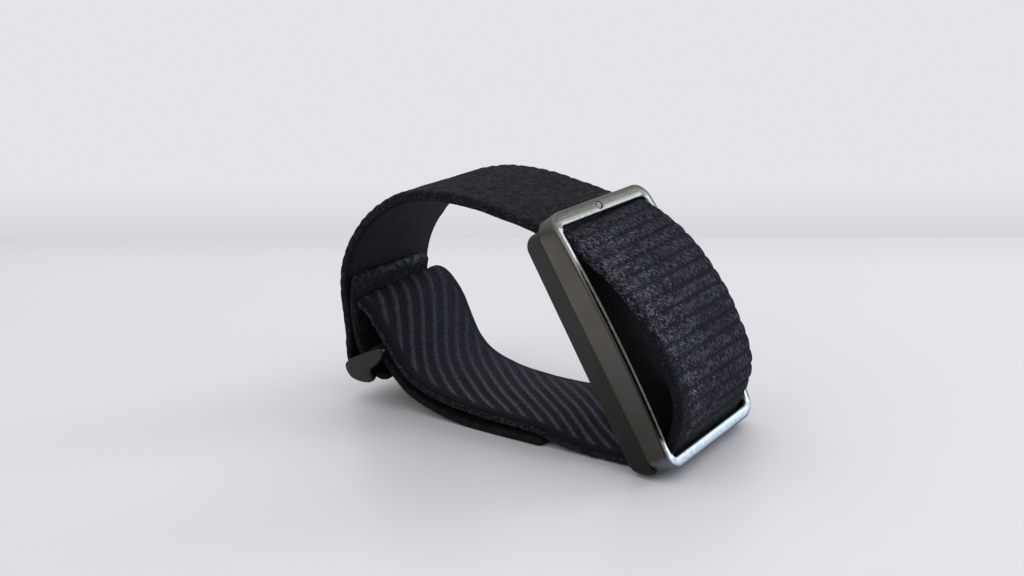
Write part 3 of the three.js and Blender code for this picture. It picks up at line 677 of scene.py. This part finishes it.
def clasp_ring():
    """The frame as one ring of sections round the window."""
    def corner(end, sy):               # end -1 is the top bar, 1 the bottom bar
        eu = FRAME_U0 if end < 0 else FRAME_U1
        cu, cy = eu - end * FRAME_R, FRAME_HALF_W - FRAME_R
        iu = end * (WIN_L - WIN_R)
        st = []
        rr = 0.34
        rb = 0.5 if end > 0 else 0.45
        for t in np.linspace(0, 1, 12)[:-1]:                       # along the rail
            st.append(((cu * t, FRAME_HALF_W), ((iu - end * 0.5) * t, WIN_W), FRAME_BACK, rr))
        phi = math.acos((WIN_W - cy) / FRAME_R)
        for t in np.linspace(0, 1, 8):                              # round to where the bar begins
            a = phi * t
            st.append(((cu + end * FRAME_R * math.sin(a), cy + FRAME_R * math.cos(a)), (iu - end * 0.5 * (1 - t), WIN_W), FRAME_BACK, rr + (rb - rr) * t))
        o, i, _, _ = st[-1]
        st.append((o, i, BAR_BACK, rb))
        for t in np.linspace(0, 1, 8)[1:]:
            a = phi + (math.pi / 2 - phi) * t
            b = math.pi / 2 * t
            st.append(((cu + end * FRAME_R * math.sin(a), cy + FRAME_R * math.cos(a)), (iu + end * WIN_R * math.sin(b), WIN_W - WIN_R + WIN_R * math.cos(b)), BAR_BACK, rb))
        for t in np.linspace(0, 1, 10)[1:]:
            st.append(((eu, cy * (1 - t)), (end * WIN_L, (WIN_W - WIN_R) * (1 - t)), BAR_BACK, rb))
        return [((o[0], sy * o[1]), (i[0], sy * i[1]), b, r) for o, i, b, r in st]

    a = corner(1, 1)
    b = corner(1, -1)
    c = corner(-1, -1)
    d = corner(-1, 1)
    ring = a + b[::-1][1:] + c[1:] + d[::-1][1:-1]
    rows = []
    for o, i, back, ro in ring:
        o, i = np.array(o), np.array(i)
        w = np.linalg.norm(i - o)
        pt = lambda f, n: (*(o + (i - o) * f), n)
        nf = lambda f: crown((o + (i - o) * f)[0])
        rail = abs(i[1]) > WIN_W - 0.05 and abs(i[0]) < WIN_L - WIN_R
        ra, rb, rk = (0.8, 0.55, 0.2) if rail else (0.5, 0.36, 0.2)
        sec = []
        for t in np.linspace(0, 1, 4):                              # back outer edge
            q = math.pi / 2 * t
            sec.append(pt((rk - rk * math.sin(q)) / w, back + rk - rk * math.cos(q)))
        sec = sec[::1]
        for t in np.linspace(0, 1, 6):                              # front outer edge
            q = math.pi / 2 * t
            f = (ro - ro * math.cos(q)) / w
            sec.append(pt(f, nf(f) - ro + ro * math.sin(q)))
        for f in (0.42, 0.6):
            sec.append(pt(f, nf(f)))
        for t in np.linspace(0, 1, 5):                              # front inner edge
            q = math.pi / 2 * t
            f = 1 - (ra - ra * math.sin(q)) / w
            sec.append(pt(f, nf(f) - rb + rb * math.cos(q)))
        for t in np.linspace(0, 1, 4):                              # back inner edge
            q = math.pi / 2 * t
            sec.append(pt(1 - (rk - rk * math.cos(q)) / w, back + rk - rk * math.sin(q)))
        rows.append(sec)
    n, m = len(rows), len(rows[0])
    verts = [p for r in rows for p in r]
    faces = []
    for k in range(n):
        for j in range(m):
            faces.append((k * m + j, ((k + 1) % n) * m + j, ((k + 1) % n) * m + (j + 1) % m, k * m + (j + 1) % m))
    return make("clasp_frame_shell", verts, faces)


HINGE_U, HINGE_N = -20.3, -4.6
fr = clasp_ring()
tidy(fr, 40, weld=1e-4)
for s in (-1, 1):
    a, b = sorted((s * 12.5, s * 13.25))
    lug = [(-21.8, FRAME_BACK + 0.5), (-18.9, FRAME_BACK + 0.5)] + [(HINGE_U + 1.45 * math.cos(t), HINGE_N + 1.45 * math.sin(t)) for t in np.linspace(0, -math.pi, 19)]
    boolean(fr, bevel(prism("lug", lug, a, b), 0.12, 2), "UNION")
    a, b = sorted((s * 12.5, s * 13.05))
    catch = [(19.5, FRAME_BACK + 0.5), (21.3, FRAME_BACK + 0.5), (21.3, -4.9), (21.0, -5.2), (19.9, -5.2), (19.5, -4.7)]
    boolean(fr, bevel(prism("catch", catch, a, b), 0.1, 2), "UNION")
    a, b = sorted((s * 12.0, s * 14.0))
    boolean(fr, prism("hole", circle(HINGE_U, HINGE_N, 0.62, 28), a, b), "DIFFERENCE")
boolean(fr, prism("hole", circle(-21.85, -0.65, 0.82, 40), -0.45, 2, "n"), "DIFFERENCE")
fr.data.transform(CLASP)
tidy(fr, 33)
to_metres(fr)
fr.name = "clasp_frame_shell"


# ------------------------------------------------------------- gunmetal finish
def metal_material(name, base, rough, grain=1.0, worn=(0.3, 0.3, 0.3), wear=0.25, window=0.0):
    g = Nodes(name, rough, 1.0)
    co = g.coords()
    mott = g.noise(co, 900, 5, 0.65)
    cloud = g.noise(co, 120, 3, 0.5)
    fine = g.noise(co, 14000, 2, 0.5)
    geo = g.node("ShaderNodeNewGeometry")
    edge = g.ramp(geo.outputs["Pointiness"], 0.53, 0.60)
    scuff = g.ramp(g.noise(co, 700, 4, 0.7), 0.46, 0.66)
    shade = tuple(c * k for c, k in zip(base, (0.85, 0.85, 0.80)))
    col = g.mix(g.ramp(cloud, 0.3, 0.7), shade, base)
    col = g.mix(g.math("MULTIPLY", g.math("MULTIPLY", edge, scuff), wear), col, worn)
    # painted shade: darker towards the bottom, from 32 mm down to 6 mm above the table
    col = g.mix(g.ramp(g.split(co)[2], 0.032, 0.006, 0.0, 0.58), col, tuple(c * 0.2 for c in base))
    gloss = g.math("ADD", g.ramp(mott, 0.25, 0.75, rough - 0.05, rough + 0.07), g.math("MULTIPLY", fine, 0.03))
    if window:                           # painted highlight: a pale, less metallic line along the window's front inner edge
        px, py, pz = g.split(co)
        dx, dz = g.math("SUBTRACT", px, X0 * MM), g.math("SUBTRACT", pz, CLASP_Z * MM)
        pu = g.math("MULTIPLY", g.math("ADD", g.math("MULTIPLY", dx, U[0]), g.math("MULTIPLY", dz, U[1])), 1000)
        pn = g.math("MULTIPLY", g.math("ADD", g.math("MULTIPLY", dx, N[0]), g.math("MULTIPLY", dz, N[1])), 1000)
        pk = g.math("DIVIDE", g.math("SUBTRACT", pu, (FRAME_U0 + FRAME_U1) / 2), (FRAME_U1 - FRAME_U0) / 2 + 0.5)
        top = g.math("SUBTRACT", 1.4, g.math("MULTIPLY", g.math("MULTIPLY", pk, pk), 1.1))
        out = g.math("MAXIMUM", g.math("SUBTRACT", g.math("MULTIPLY", g.math("ABSOLUTE", py), 1000), WIN_W), g.math("SUBTRACT", g.math("ABSOLUTE", pu), WIN_L))
        painted_edge_highlight = g.math("MULTIPLY", g.math("MULTIPLY", g.ramp(out, 1.10, 0.90), g.ramp(out, 0.30, 0.66, 0.30, 1.0)), g.ramp(g.math("SUBTRACT", top, pn), 1.3, 0.5))
        painted_edge_highlight = g.math("MULTIPLY", painted_edge_highlight, g.ramp(mott, 0.25, 0.6, 0.7, 1.0))
        painted_edge_highlight = g.math("MULTIPLY", painted_edge_highlight, g.ramp(g.math("ABSOLUTE", pu), WIN_L - 0.5, WIN_L + 0.1, window, window * 0.12))
        # painted reflection: the bottom bar is paler and bluer
        col = g.mix(g.ramp(pu, WIN_L - 1.2, WIN_L + 0.2, 0.0, 0.9), col, (0.150, 0.166, 0.190))
        col = g.mix(painted_edge_highlight, col, (0.62, 0.62, 0.64))
        gloss = g.math("SUBTRACT", gloss, g.math("MULTIPLY", painted_edge_highlight, 0.04))
        g.put(g.p.inputs["Metallic"], g.math("SUBTRACT", 1.0, g.math("MULTIPLY", painted_edge_highlight, 0.75)))
    g.base(col)
    g.rough(gloss)
    g.bump(fine, 0.000012 * grain, 0.5)
    return g.mat


GUNMETAL = metal_material("gunmetal", (0.134, 0.128, 0.114), 0.28, wear=0.0, window=0.85)
dress(fr, GUNMETAL, "clasp")
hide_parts("clasp_frame")

# ================================================================ the pod case
HINGE_RH = 1.35
EAR_U0, EAR_U1, POD_SKIN, POD_RIM = -21.65, 21.9, -7.0, -3.25


def pod_profile(k=12):
    r0, r1, p, q = HINGE_N - POD_SKIN, 2.9, [], []
    for i in range(k):
        t = i / k * math.pi / 2
        p.append((HINGE_U - HINGE_RH * math.sin(t), HINGE_N + HINGE_RH * math.cos(t)))
    for i in range(k + 1):
        t = i / k * math.pi / 2
        p.append((EAR_U0 + r0 - r0 * math.cos(t), POD_SKIN + r0 - r0 * math.sin(t)))
    for i in range(k + 1):
        t = i / k * math.pi / 2
        q.append((EAR_U1 - r1 + r1 * math.sin(t), POD_SKIN + r1 - r1 * math.cos(t)))
    return p + q + [(EAR_U1, POD_RIM)]


def pod_case():
    """Side profile lofted across the width, drawn in towards the two long sides so every outer edge is round."""
    prof = np.array(pod_profile())
    prof[:, 1] -= 0.55 * smooth(-16, 12, prof[:, 0]) * smooth(-5.2, -6.9, prof[:, 1])
    r = 0.7
    half = 14.4
    ys = [(-half + r - r * math.cos(t), r - r * math.sin(t)) for t in np.linspace(0, math.pi / 2, 7)]
    ys = ys + [(-y, d) for y, d in ys[::-1]]
    nxt, prv = np.roll(prof, -1, 0), np.roll(prof, 1, 0)
    tan = nxt - prv
    tan /= np.linalg.norm(tan, axis=1)[:, None]
    inward = np.stack([-tan[:, 1], tan[:, 0]], 1)
    # the rim stays where it is: only the sides and the skin face are drawn in
    w = smooth(0.0, 1.4, POD_RIM - prof[:, 1])
    w[0] = w[-1] = 0
    if (inward * (np.array([0, -5.0]) - prof)).sum(1).mean() < 0:
        inward = -inward
    verts = []
    for y, d in ys:
        q = prof + inward * (d * w)[:, None]
        verts += [(float(a), float(y), float(b)) for a, b in q]
    n, m = len(ys), len(prof)
    faces = []
    for i in range(n - 1):
        for j in range(m):
            faces.append((i * m + j, (i + 1) * m + j, (i + 1) * m + (j + 1) % m, i * m + (j + 1) % m))
    faces += [tuple(range(m)), tuple(range(n * m - 1, (n - 1) * m - 1, -1))]
    ob = make("pod_case_shell", verts, faces)
    return tidy(ob, 30)


pod = pod_case()
SENSOR_U, SENSOR_HALF = 2.4, 6.5
cuts = [
    block(-26, -18.5, -12.4, 12.4, -9, -1), block(18.6, 26, -12.4, 12.4, -9, -1),
    block(-26, -18.55, -13.55, 13.55, -9, -1), block(19.1, 26, -13.55, 13.55, -9, -1),
    prism("cav", rounded(-17.3, 17.4, -12.9, 12.9, 2.2), -6.25, 0, "n"),
    prism("win", rounded(SENSOR_U - SENSOR_HALF - 0.3, SENSOR_U + SENSOR_HALF + 0.3, -SENSOR_HALF - 0.3, SENSOR_HALF + 0.3, 2.3), -9, -5, "n"),
    prism("probe", circle(14.0, 6.0, 1.0, 32), -9, -5, "n"),
    prism("pin", circle(HINGE_U, HINGE_N, 0.62, 28), -14.06, -12.0), prism("pin", circle(HINGE_U, HINGE_N, 0.62, 28), 12.0, 14.06),
]
for c in cuts:
    boolean(pod, c, "DIFFERENCE")
bevel(pod, 0.14, 2, 40)
pod.data.transform(CLASP)
tidy(pod, 33)
to_metres(pod)
pod.name = "pod_case_shell"


def plastic_material(name, base, rough, spec=0.5, grain=0.00002, scale=5200, bottom_shade=1.0):
    g = Nodes(name, rough, 0.0, Specular_IOR_Level=spec)
    co = g.coords()
    cloud = g.noise(co, 160, 3, 0.5)
    vdi = g.noise(co, scale, 3, 0.6)
    col = g.mix(g.ramp(cloud, 0.3, 0.7), tuple(c * 0.85 for c in base), tuple(min(1, c * 1.1) for c in base))
    if bottom_shade < 1:                          # painted shade: darker towards the bottom
        col = g.mix(g.ramp(g.split(co)[2], 0.034, 0.002), col, tuple(c * bottom_shade for c in base))
    g.base(col)
    g.rough(g.ramp(g.noise(co, 800, 4, 0.6), 0.3, 0.7, rough - 0.05, rough + 0.08))
    g.bump(vdi, grain, 0.6)
    return g.mat


POD = plastic_material("pod_plastic", (0.040, 0.043, 0.041), 0.52, spec=0.26, bottom_shade=0.2)
dress(pod, POD, "band")
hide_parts("pod_bottom_case")

# ------------------------------------------------------------ optical window
def lens_mesh():
    s, k, rings = SENSOR_HALF, 72, 14
    verts, faces = [], []

    def plan(t, r):                      # rounded square
        c, d = math.cos(t), math.sin(t)
        e = 5.0
        q = (abs(c) ** e + abs(d) ** e) ** (-1 / e)
        return SENSOR_U + s * r * q * c, s * r * q * d
    for i in range(rings, 0, -1):        # dome
        r = i / rings
        h = -7.02 - 0.78 * (1 - r ** 3.0) ** 0.8
        for j in range(k):
            x, y = plan(2 * math.pi * j / k, r)
            verts.append((x, y, h))
    top = len(verts)
    verts.append((SENSOR_U, 0, -7.80))
    for i in range(rings - 1):
        for j in range(k):
            a, b = i * k + j, i * k + (j + 1) % k
            faces.append((a, b, b + k, a + k))
    last = (rings - 1) * k
    faces += [(last + j, last + (j + 1) % k, top) for j in range(k)]
    base = len(verts)                    # skirt and inner face
    for r, h in ((1.0, -6.85), (1.0, -6.35), (0.985, -6.3)):
        for j in range(k):
            x, y = plan(2 * math.pi * j / k, r)
            verts.append((x, y, h))
    loops = [0, base, base + k, base + 2 * k]
    for a0, b0 in zip(loops[:-1], loops[1:]):
        faces += [(a0 + j, b0 + j, b0 + (j + 1) % k, a0 + (j + 1) % k) for j in range(k)]
    faces.append(tuple(base + 2 * k + j for j in range(k)))
    ob = make("optical_window_lens", verts, faces, CLASP)
    return to_metres(tidy(ob, 50))


lens = lens_mesh()
g = Nodes("lens_black", 0.08, 0.0, Coat_Weight=0.6, Coat_Roughness=0.04, IOR=1.52)
co = g.coords()
smear = g.noise(co, 260, 4, 0.6)
g.base(g.mix(g.ramp(smear, 0.35, 0.7), (0.006, 0.0065, 0.0075), (0.011, 0.011, 0.013)))
g.rough(g.ramp(smear, 0.3, 0.75, 0.05, 0.16))
dress(lens, g.mat, "band")
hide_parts("optical_window")

# ================================================================ the adjuster
PLATE = [(-65.4, 8.5), (-62.2, 10.2), (-58.0, 11.9), (-54.8, 13.1), (-54.1, 12.6), (-54.3, 11.2), (-56.3, 9.3),
         (-58.0, 8.3), (-58.3, 7.4), (-57.6, 6.3), (-58.6, 5.2), (-60.6, 4.9), (-62.6, 5.0), (-64.2, 5.4), (-65.4, 6.9)]
PLATE_FAR = PLATE[:2] + [(-58.0, 11.9), (-57.0, 12.1), (-56.2, 11.6), (-55.9, 10.5)] + PLATE[6:]


def soft_outline(points, rounds=3):
    p = [np.array(q, float) for q in points]
    for _ in range(rounds):              # corner cutting
        q = []
        for i in range(len(p)):
            a, b = p[i], p[(i + 1) % len(p)]
            q += [a * 0.8 + b * 0.2, a * 0.2 + b * 0.8]
        p = q
    keep = [p[0]]
    for q in p[1:]:
        if np.linalg.norm(q - keep[-1]) > 0.16:
            keep.append(q)
    return [tuple(map(float, q)) for q in keep]


def adjuster():
    ob = None
    for s, shape in ((-1, PLATE), (1, PLATE_FAR)):
        a, b = sorted((s * 12.45, s * (13.9 if s < 0 else 13.6)))
        plate = bevel(prism("plate", soft_outline(shape), a, b), 0.42, 5, 50)
        ob = plate if ob is None else boolean(ob, plate, "UNION")
    boolean(ob, prism("bar", circle(*BAR_L, 0.8, 40), -13, 13), "UNION")
    for s in (-1, 1):
        a, b = sorted((s * 13.45, s * 12.0))
        boolean(ob, prism("hole", circle(*BAR_R, 1.02, 36), a, b), "DIFFERENCE")
    ob.data.transform(LOOP)
    tidy(ob, 33)
    return to_metres(ob)


adj = adjuster()
adj.name = "adjuster_frame_shell"
GUNMETAL_DARK = metal_material("gunmetal_dark", (0.090, 0.086, 0.074), 0.38)
dress(adj, GUNMETAL_DARK, "adjuster")
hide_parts("adjuster_frame")

bar = prism("adjuster_pin", circle(*BAR_R, 0.88, 48), -13.3, 13.3)
bevel(bar, 0.2, 3, 50)
bar.data.transform(LOOP)
tidy(bar, 33)
to_metres(bar)
dress(bar, GUNMETAL_DARK, "adjuster")
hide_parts("adjuster_bar")

# ======================================================== carried-over CAD nodes
def carry(node, mat, width=0.00006, segments=2):
    ob = NODES[node]
    ob.data.materials.clear()
    ob.data.materials.append(mat)
    if width:
        m = ob.modifiers.new("bevel", "BEVEL")
        m.width, m.segments, m.limit_method, m.angle_limit = width, segments, "ANGLE", math.radians(40)
        m.harden_normals = True
    return ob


LID = plastic_material("lid_plastic", (0.0145, 0.0148, 0.0178), 0.7, spec=0.25)
carry("pod_top_case", LID, 0.00018, 3)
STEEL = metal_material("steel", (0.46, 0.46, 0.45), 0.28)
for n in ("hinge_pin_near", "hinge_pin_far", "latch_spring_near", "latch_spring_far", "motor_shaft"):
    carry(n, STEEL, 0.00004)
MOTOR = metal_material("motor_steel", (0.40, 0.40, 0.39), 0.32)
carry("motor_case", MOTOR, 0.00006)
WEIGHT = metal_material("rotor_tungsten", (0.20, 0.20, 0.205), 0.42)
carry("motor_rotor", WEIGHT, 0.00006)
DOT = metal_material("dot_polished", (0.115, 0.113, 0.108), 0.40, 0.3, (0.3, 0.3, 0.3), 0.1)
carry("index_dot", DOT, 0.00016, 4)

g = Nodes("seal_silicone", 0.6, 0.0, Subsurface_Weight=0.05)
n1 = g.noise(g.coords(), 1500, 3, 0.5)
g.base(g.mix(g.ramp(n1, 0.3, 0.7), (0.10, 0.022, 0.012), (0.15, 0.032, 0.018)))
g.bump(n1, 0.00002, 0.5)
carry("case_seal", g.mat)

BLACK = plastic_material("black_plastic", (0.010, 0.010, 0.011), 0.62)
carry("light_baffle", BLACK)


def chip_material(name):
    g = Nodes(name, 0.5, 0.0)
    co = g.coords()
    n1 = g.noise(co, 6000, 3, 0.6)
    g.base(g.mix(g.ramp(n1, 0.3, 0.7), (0.012, 0.012, 0.013), (0.022, 0.022, 0.024)))
    g.rough(g.ramp(n1, 0.3, 0.7, 0.42, 0.6))
    g.bump(n1, 0.00001, 0.5)
    return g.mat


CHIP = chip_material("chip_epoxy")
for n in ("mcu_chip", "memory_chip", "power_chip", "motion_sensor_chip"):
    carry(n, CHIP, 0.00005)


def board_material():
    g = Nodes("circuit_board", 0.35, 0.0, Coat_Weight=0.25, Coat_Roughness=0.2)
    x, y, z = g.split(g.coords())
    v = g.join(g.math("MULTIPLY", x, 1000.0), g.math("MULTIPLY", y, 1000.0), g.math("MULTIPLY", z, 1000.0))
    tr = g.cells(v, 0.9, "DISTANCE_TO_EDGE", "Distance", 0.3)
    trace = g.ramp(tr, 0.10, 0.05)
    via = g.ramp(g.cells(v, 1.1, "F1", "Distance", 1.0), 0.12, 0.08)
    n1 = g.noise(v, 2.0, 3, 0.5)
    col = g.mix(g.ramp(n1, 0.3, 0.7), (0.008, 0.045, 0.022), (0.012, 0.062, 0.030))
    col = g.mix(g.math("MULTIPLY", trace, 0.5), col, (0.03, 0.13, 0.055))
    col = g.mix(via, col, (0.55, 0.42, 0.18))
    g.base(col)
    g.bump(trace, 0.00002, 0.4)
    return g.mat


PCB = board_material()
for n in ("main_board", "sensor_board"):
    carry(n, PCB, 0.00004)

g = Nodes("connector", 0.5, 0.0)
n1 = g.noise(g.coords(), 2500, 2, 0.5)
g.base(g.mix(g.ramp(n1, 0.3, 0.7), (0.55, 0.50, 0.42), (0.66, 0.61, 0.52)))
g.bump(n1, 0.00001, 0.4)
carry("board_connector", g.mat)

LED_TINT = {"led_green_a": (0.30, 0.62, 0.34), "led_green_b": (0.30, 0.62, 0.34), "led_green_c": (0.30, 0.62, 0.34), "led_red": (0.66, 0.22, 0.18), "led_infrared": (0.42, 0.38, 0.52)}
for n, c in LED_TINT.items():
    g = Nodes("lens_" + n, 0.2, 0.0, Coat_Weight=0.5, Coat_Roughness=0.05)
    n1 = g.cells(g.coords(), 2600, "F1", "Distance", 0.4)
    g.base(g.mix(g.ramp(n1, 0.15, 0.5), (0.75, 0.72, 0.45), c))
    g.rough(g.ramp(n1, 0.1, 0.6, 0.12, 0.3))
    carry(n, g.mat, 0.00005)
g = Nodes("photodiode", 0.2, 0.0, Coat_Weight=0.6, Coat_Roughness=0.05)
n1 = g.noise(g.coords(), 1800, 3, 0.5)
g.base(g.mix(g.ramp(n1, 0.3, 0.7), (0.010, 0.013, 0.03), (0.022, 0.026, 0.055)))
g.rough(g.ramp(n1, 0.3, 0.7, 0.12, 0.24))
for n in ("photodiode_a", "photodiode_b", "photodiode_c", "photodiode_d"):
    carry(n, g.mat, 0.00005)

g = Nodes("battery_foil", 0.35, 0.85)
co = g.coords()
n1 = g.noise(co, 420, 4, 0.6)
g.base(g.mix(g.ramp(n1, 0.3, 0.7), (0.40, 0.41, 0.42), (0.52, 0.53, 0.54)))
g.rough(g.ramp(g.noise(co, 1800, 3, 0.6), 0.3, 0.7, 0.26, 0.46))
g.bump(n1, 0.00008, 0.5)
carry("battery_cell", g.mat, 0.0002, 3)
g = Nodes("foam", 0.95, 0.0)
n1 = g.cells(g.coords(), 3800, "F1", "Distance", 1.0)
g.base(g.mix(g.ramp(n1, 0.1, 0.6), (0.30, 0.29, 0.25), (0.50, 0.48, 0.42)))
g.bump(n1, 0.00008, 0.8)
carry("battery_pad", g.mat)


def copper_material(name, rings):
    g = Nodes(name, 0.32, 1.0)
    x, y, z = g.split(g.coords())
    n1 = g.noise(g.coords(), 1500, 3, 0.5)
    g.base(g.mix(g.ramp(n1, 0.3, 0.7), (0.62, 0.29, 0.15), (0.76, 0.40, 0.23)))
    g.rough(g.ramp(n1, 0.3, 0.7, 0.24, 0.4))
    w = g.math("FRACT", g.math("MULTIPLY", y, rings))
    g.bump(g.ramp(g.math("ABSOLUTE", g.math("SUBTRACT", w, 0.5)), 0.0, 0.5), 0.00005, 0.6)
    return g.mat


carry("charging_coil", copper_material("coil_copper", 4200), 0.00004)
carry("battery_lead", copper_material("lead_copper", 2000), 0.00004)
GOLD = metal_material("gold_trace", (0.78, 0.56, 0.26), 0.3, worn=(0.9, 0.7, 0.4))
carry("antenna", GOLD, 0.00004)
carry("temperature_probe", GOLD, 0.00012, 3)
g = Nodes("ferrite", 0.6, 0.0)
n1 = g.noise(g.coords(), 2600, 4, 0.6)
g.base(g.mix(g.ramp(n1, 0.3, 0.7), (0.035, 0.035, 0.037), (0.06, 0.06, 0.064)))
g.bump(n1, 0.00002, 0.6)
carry("ferrite_sheet", g.mat)

# =================================================================== the stage
CAM = (0.120633, -0.146884, 0.080029)


def camera():
    cam = bpy.data.cameras.new("camera")
    cam.sensor_width, cam.lens = 36, 37.54
    cam.clip_start, cam.clip_end = 0.01, 20
    ob = bpy.data.objects.new("camera", cam)
    bpy.context.scene.collection.objects.link(ob)
    t, a, r = math.radians(16.172), math.radians(40.19), math.radians(-5.066)
    fwd = Vector((-math.sin(a) * math.cos(t), math.cos(a) * math.cos(t), -math.sin(t)))
    right = Vector((math.cos(a), math.sin(a), 0))
    up = right.cross(fwd)
    R = right * math.cos(r) + up * math.sin(r)
    V = -right * math.sin(r) + up * math.cos(r)
    m = Matrix((R, V, -fwd)).transposed().to_4x4()
    m.translation = CAM
    ob.matrix_world = m
    bpy.context.scene.camera = ob
    return ob


camera()

# the table: a pale satin top, a little over a third of a metre deep
edge_a, edge_b = Vector((-0.2948, 0.0394, 0)), Vector((0.0467, 0.1591, 0))
side = (edge_b - edge_a).normalized()
back = Vector((-side.y, side.x, 0))
mid = (edge_a + edge_b) / 2
pts = [mid - side * 1.9, mid + side * 1.9, mid - back * 1.3 + side * 1.9, mid - back * 1.3 - side * 1.9]
floor = make("table_top", [(p.x, p.y, -0.00002) for p in pts], [(3, 2, 1, 0)])
g = Nodes("table_satin", 0.32, 0.0, Specular_IOR_Level=0.35)
n1 = g.noise(g.coords(), 6, 2, 0.5)
tx, ty, tz = g.split(g.coords())
across = g.math("ADD", g.math("MULTIPLY", tx, float(side.x)), g.math("MULTIPLY", ty, float(side.y)))
depth = g.math("SUBTRACT", float(mid.dot(back)), g.math("ADD", g.math("MULTIPLY", tx, float(back.x)), g.math("MULTIPLY", ty, float(back.y))))
# painted light: the top is bluer towards the right and purpler to the left
tint = g.mix(g.ramp(across, -0.10, 0.16), (0.795, 0.768, 0.812), (0.778, 0.786, 0.808))
tint = g.mix(g.ramp(n1, 0.3, 0.7, 0.0, 0.35), tint, (0.81, 0.80, 0.83))
# painted shade: darker within 34 mm of the back edge
g.base(g.mix(g.ramp(depth, 0.034, 0.0, 0.0, 1.0), tint, (0.735, 0.712, 0.752)))
g.rough(g.ramp(g.noise(g.coords(), 40, 3, 0.5), 0.3, 0.7, 0.30, 0.36))
floor.data.materials.append(g.mat)

# soft room light: pale overhead and to the left and back, dimmer to the right
world = bpy.data.worlds.new("world")
bpy.context.scene.world = world
world.use_nodes = True
wt = world.node_tree
wt.nodes.clear()
wo = wt.nodes.new("ShaderNodeOutputWorld")
sky, seen, mixer = wt.nodes.new("ShaderNodeBackground"), wt.nodes.new("ShaderNodeBackground"), wt.nodes.new("ShaderNodeMixShader")
path, coord = wt.nodes.new("ShaderNodeLightPath"), wt.nodes.new("ShaderNodeTexCoord")


def lobe(direction, lo, hi, amount):
    d = Vector(direction).normalized()
    dot = wt.nodes.new("ShaderNodeVectorMath")
    dot.operation = "DOT_PRODUCT"
    wt.links.new(coord.outputs["Generated"], dot.inputs[0])
    dot.inputs[1].default_value = d
    r = wt.nodes.new("ShaderNodeMapRange")
    r.interpolation_type = "SMOOTHSTEP"
    wt.links.new(dot.outputs["Value"], r.inputs[0])
    for i, v in zip((1, 2, 3, 4), (lo, hi, 0.0, amount)):
        r.inputs[i].default_value = v
    return r.outputs[0]


def add(a, b):
    n = wt.nodes.new("ShaderNodeMath")
    n.operation = "ADD"
    for i, v in enumerate((a, b)):
        if hasattr(v, "is_output"):
            wt.links.new(v, n.inputs[i])
        else:
            n.inputs[i].default_value = v
    return n.outputs[0]


glow = add(add(lobe((0, 0, 1), 0.1, 1.0, 0.55), lobe((-0.64, 0.76, 0.15), -0.2, 0.9, 0.38)), 0.16)
glow = add(glow, lobe((-0.5, -0.75, 0.5), 0.3, 1.0, 0.12))
sky.inputs["Color"].default_value = (0.97, 0.985, 1.0, 1)
wt.links.new(glow, sky.inputs["Strength"])
plane = (edge_a - Vector(CAM)).cross(edge_b - Vector(CAM)).normalized()
plane = plane if plane.z > 0 else -plane
height = wt.nodes.new("ShaderNodeVectorMath")
height.operation = "DOT_PRODUCT"
wt.links.new(coord.outputs["Generated"], height.inputs[0])
height.inputs[1].default_value = plane
fade = wt.nodes.new("ShaderNodeMapRange")
fade.interpolation_type = "SMOOTHSTEP"
wt.links.new(height.outputs["Value"], fade.inputs[0])
for i, v in zip((1, 2, 3, 4), (-0.004, 0.05, 0.0, 1.0)):
    fade.inputs[i].default_value = v
wall = wt.nodes.new("ShaderNodeMix")
wall.data_type = "RGBA"
wt.links.new(fade.outputs[0], wall.inputs[0])
wall.inputs[6].default_value = (0.690, 0.672, 0.716, 1)
wall.inputs[7].default_value = (0.772, 0.776, 0.808, 1)
wt.links.new(wall.outputs[2], seen.inputs["Color"])
wt.links.new(path.outputs["Is Camera Ray"], mixer.inputs[0])
wt.links.new(sky.outputs[0], mixer.inputs[1])
wt.links.new(seen.outputs[0], mixer.inputs[2])
wt.links.new(mixer.outputs[0], wo.inputs["Surface"])


def softbox(name, at, look, size, power, colour):
    light = bpy.data.lights.new(name, "AREA")
    light.shape, light.size, light.size_y = "RECTANGLE", size[0], size[1]
    light.energy, light.color = power, colour
    ob = bpy.data.objects.new(name, light)
    bpy.context.scene.collection.objects.link(ob)
    ob.location = at
    ob.visible_camera = False
    ob.rotation_mode = "QUATERNION"
    ob.rotation_quaternion = (Vector(look) - Vector(at)).to_track_quat("-Z", "Y")
    return ob


softbox("window_right", (0.72, 1.0, 0.26), (0, 0, 0.02), (0.55, 0.54), 6.9, (0.82, 0.91, 1.0))
softbox("side_right", (0.75, 0.25, 0.75), (0, 0, 0.02), (0.9, 0.7), 2.2, (0.93, 0.97, 1.0))
softbox("overhead", (-0.25, 0.1, 1.0), (0, 0, 0), (1.1, 1.1), 1.95, (1.0, 0.985, 0.97))
softbox("front_fill", (-0.5, -0.9, 0.6), (0, 0, 0.02), (0.8, 0.6), 0.55, (1.0, 0.84, 0.62))

bpy.context.scene.view_settings.view_transform = "Standard"
bpy.context.scene.view_settings.look = "None"
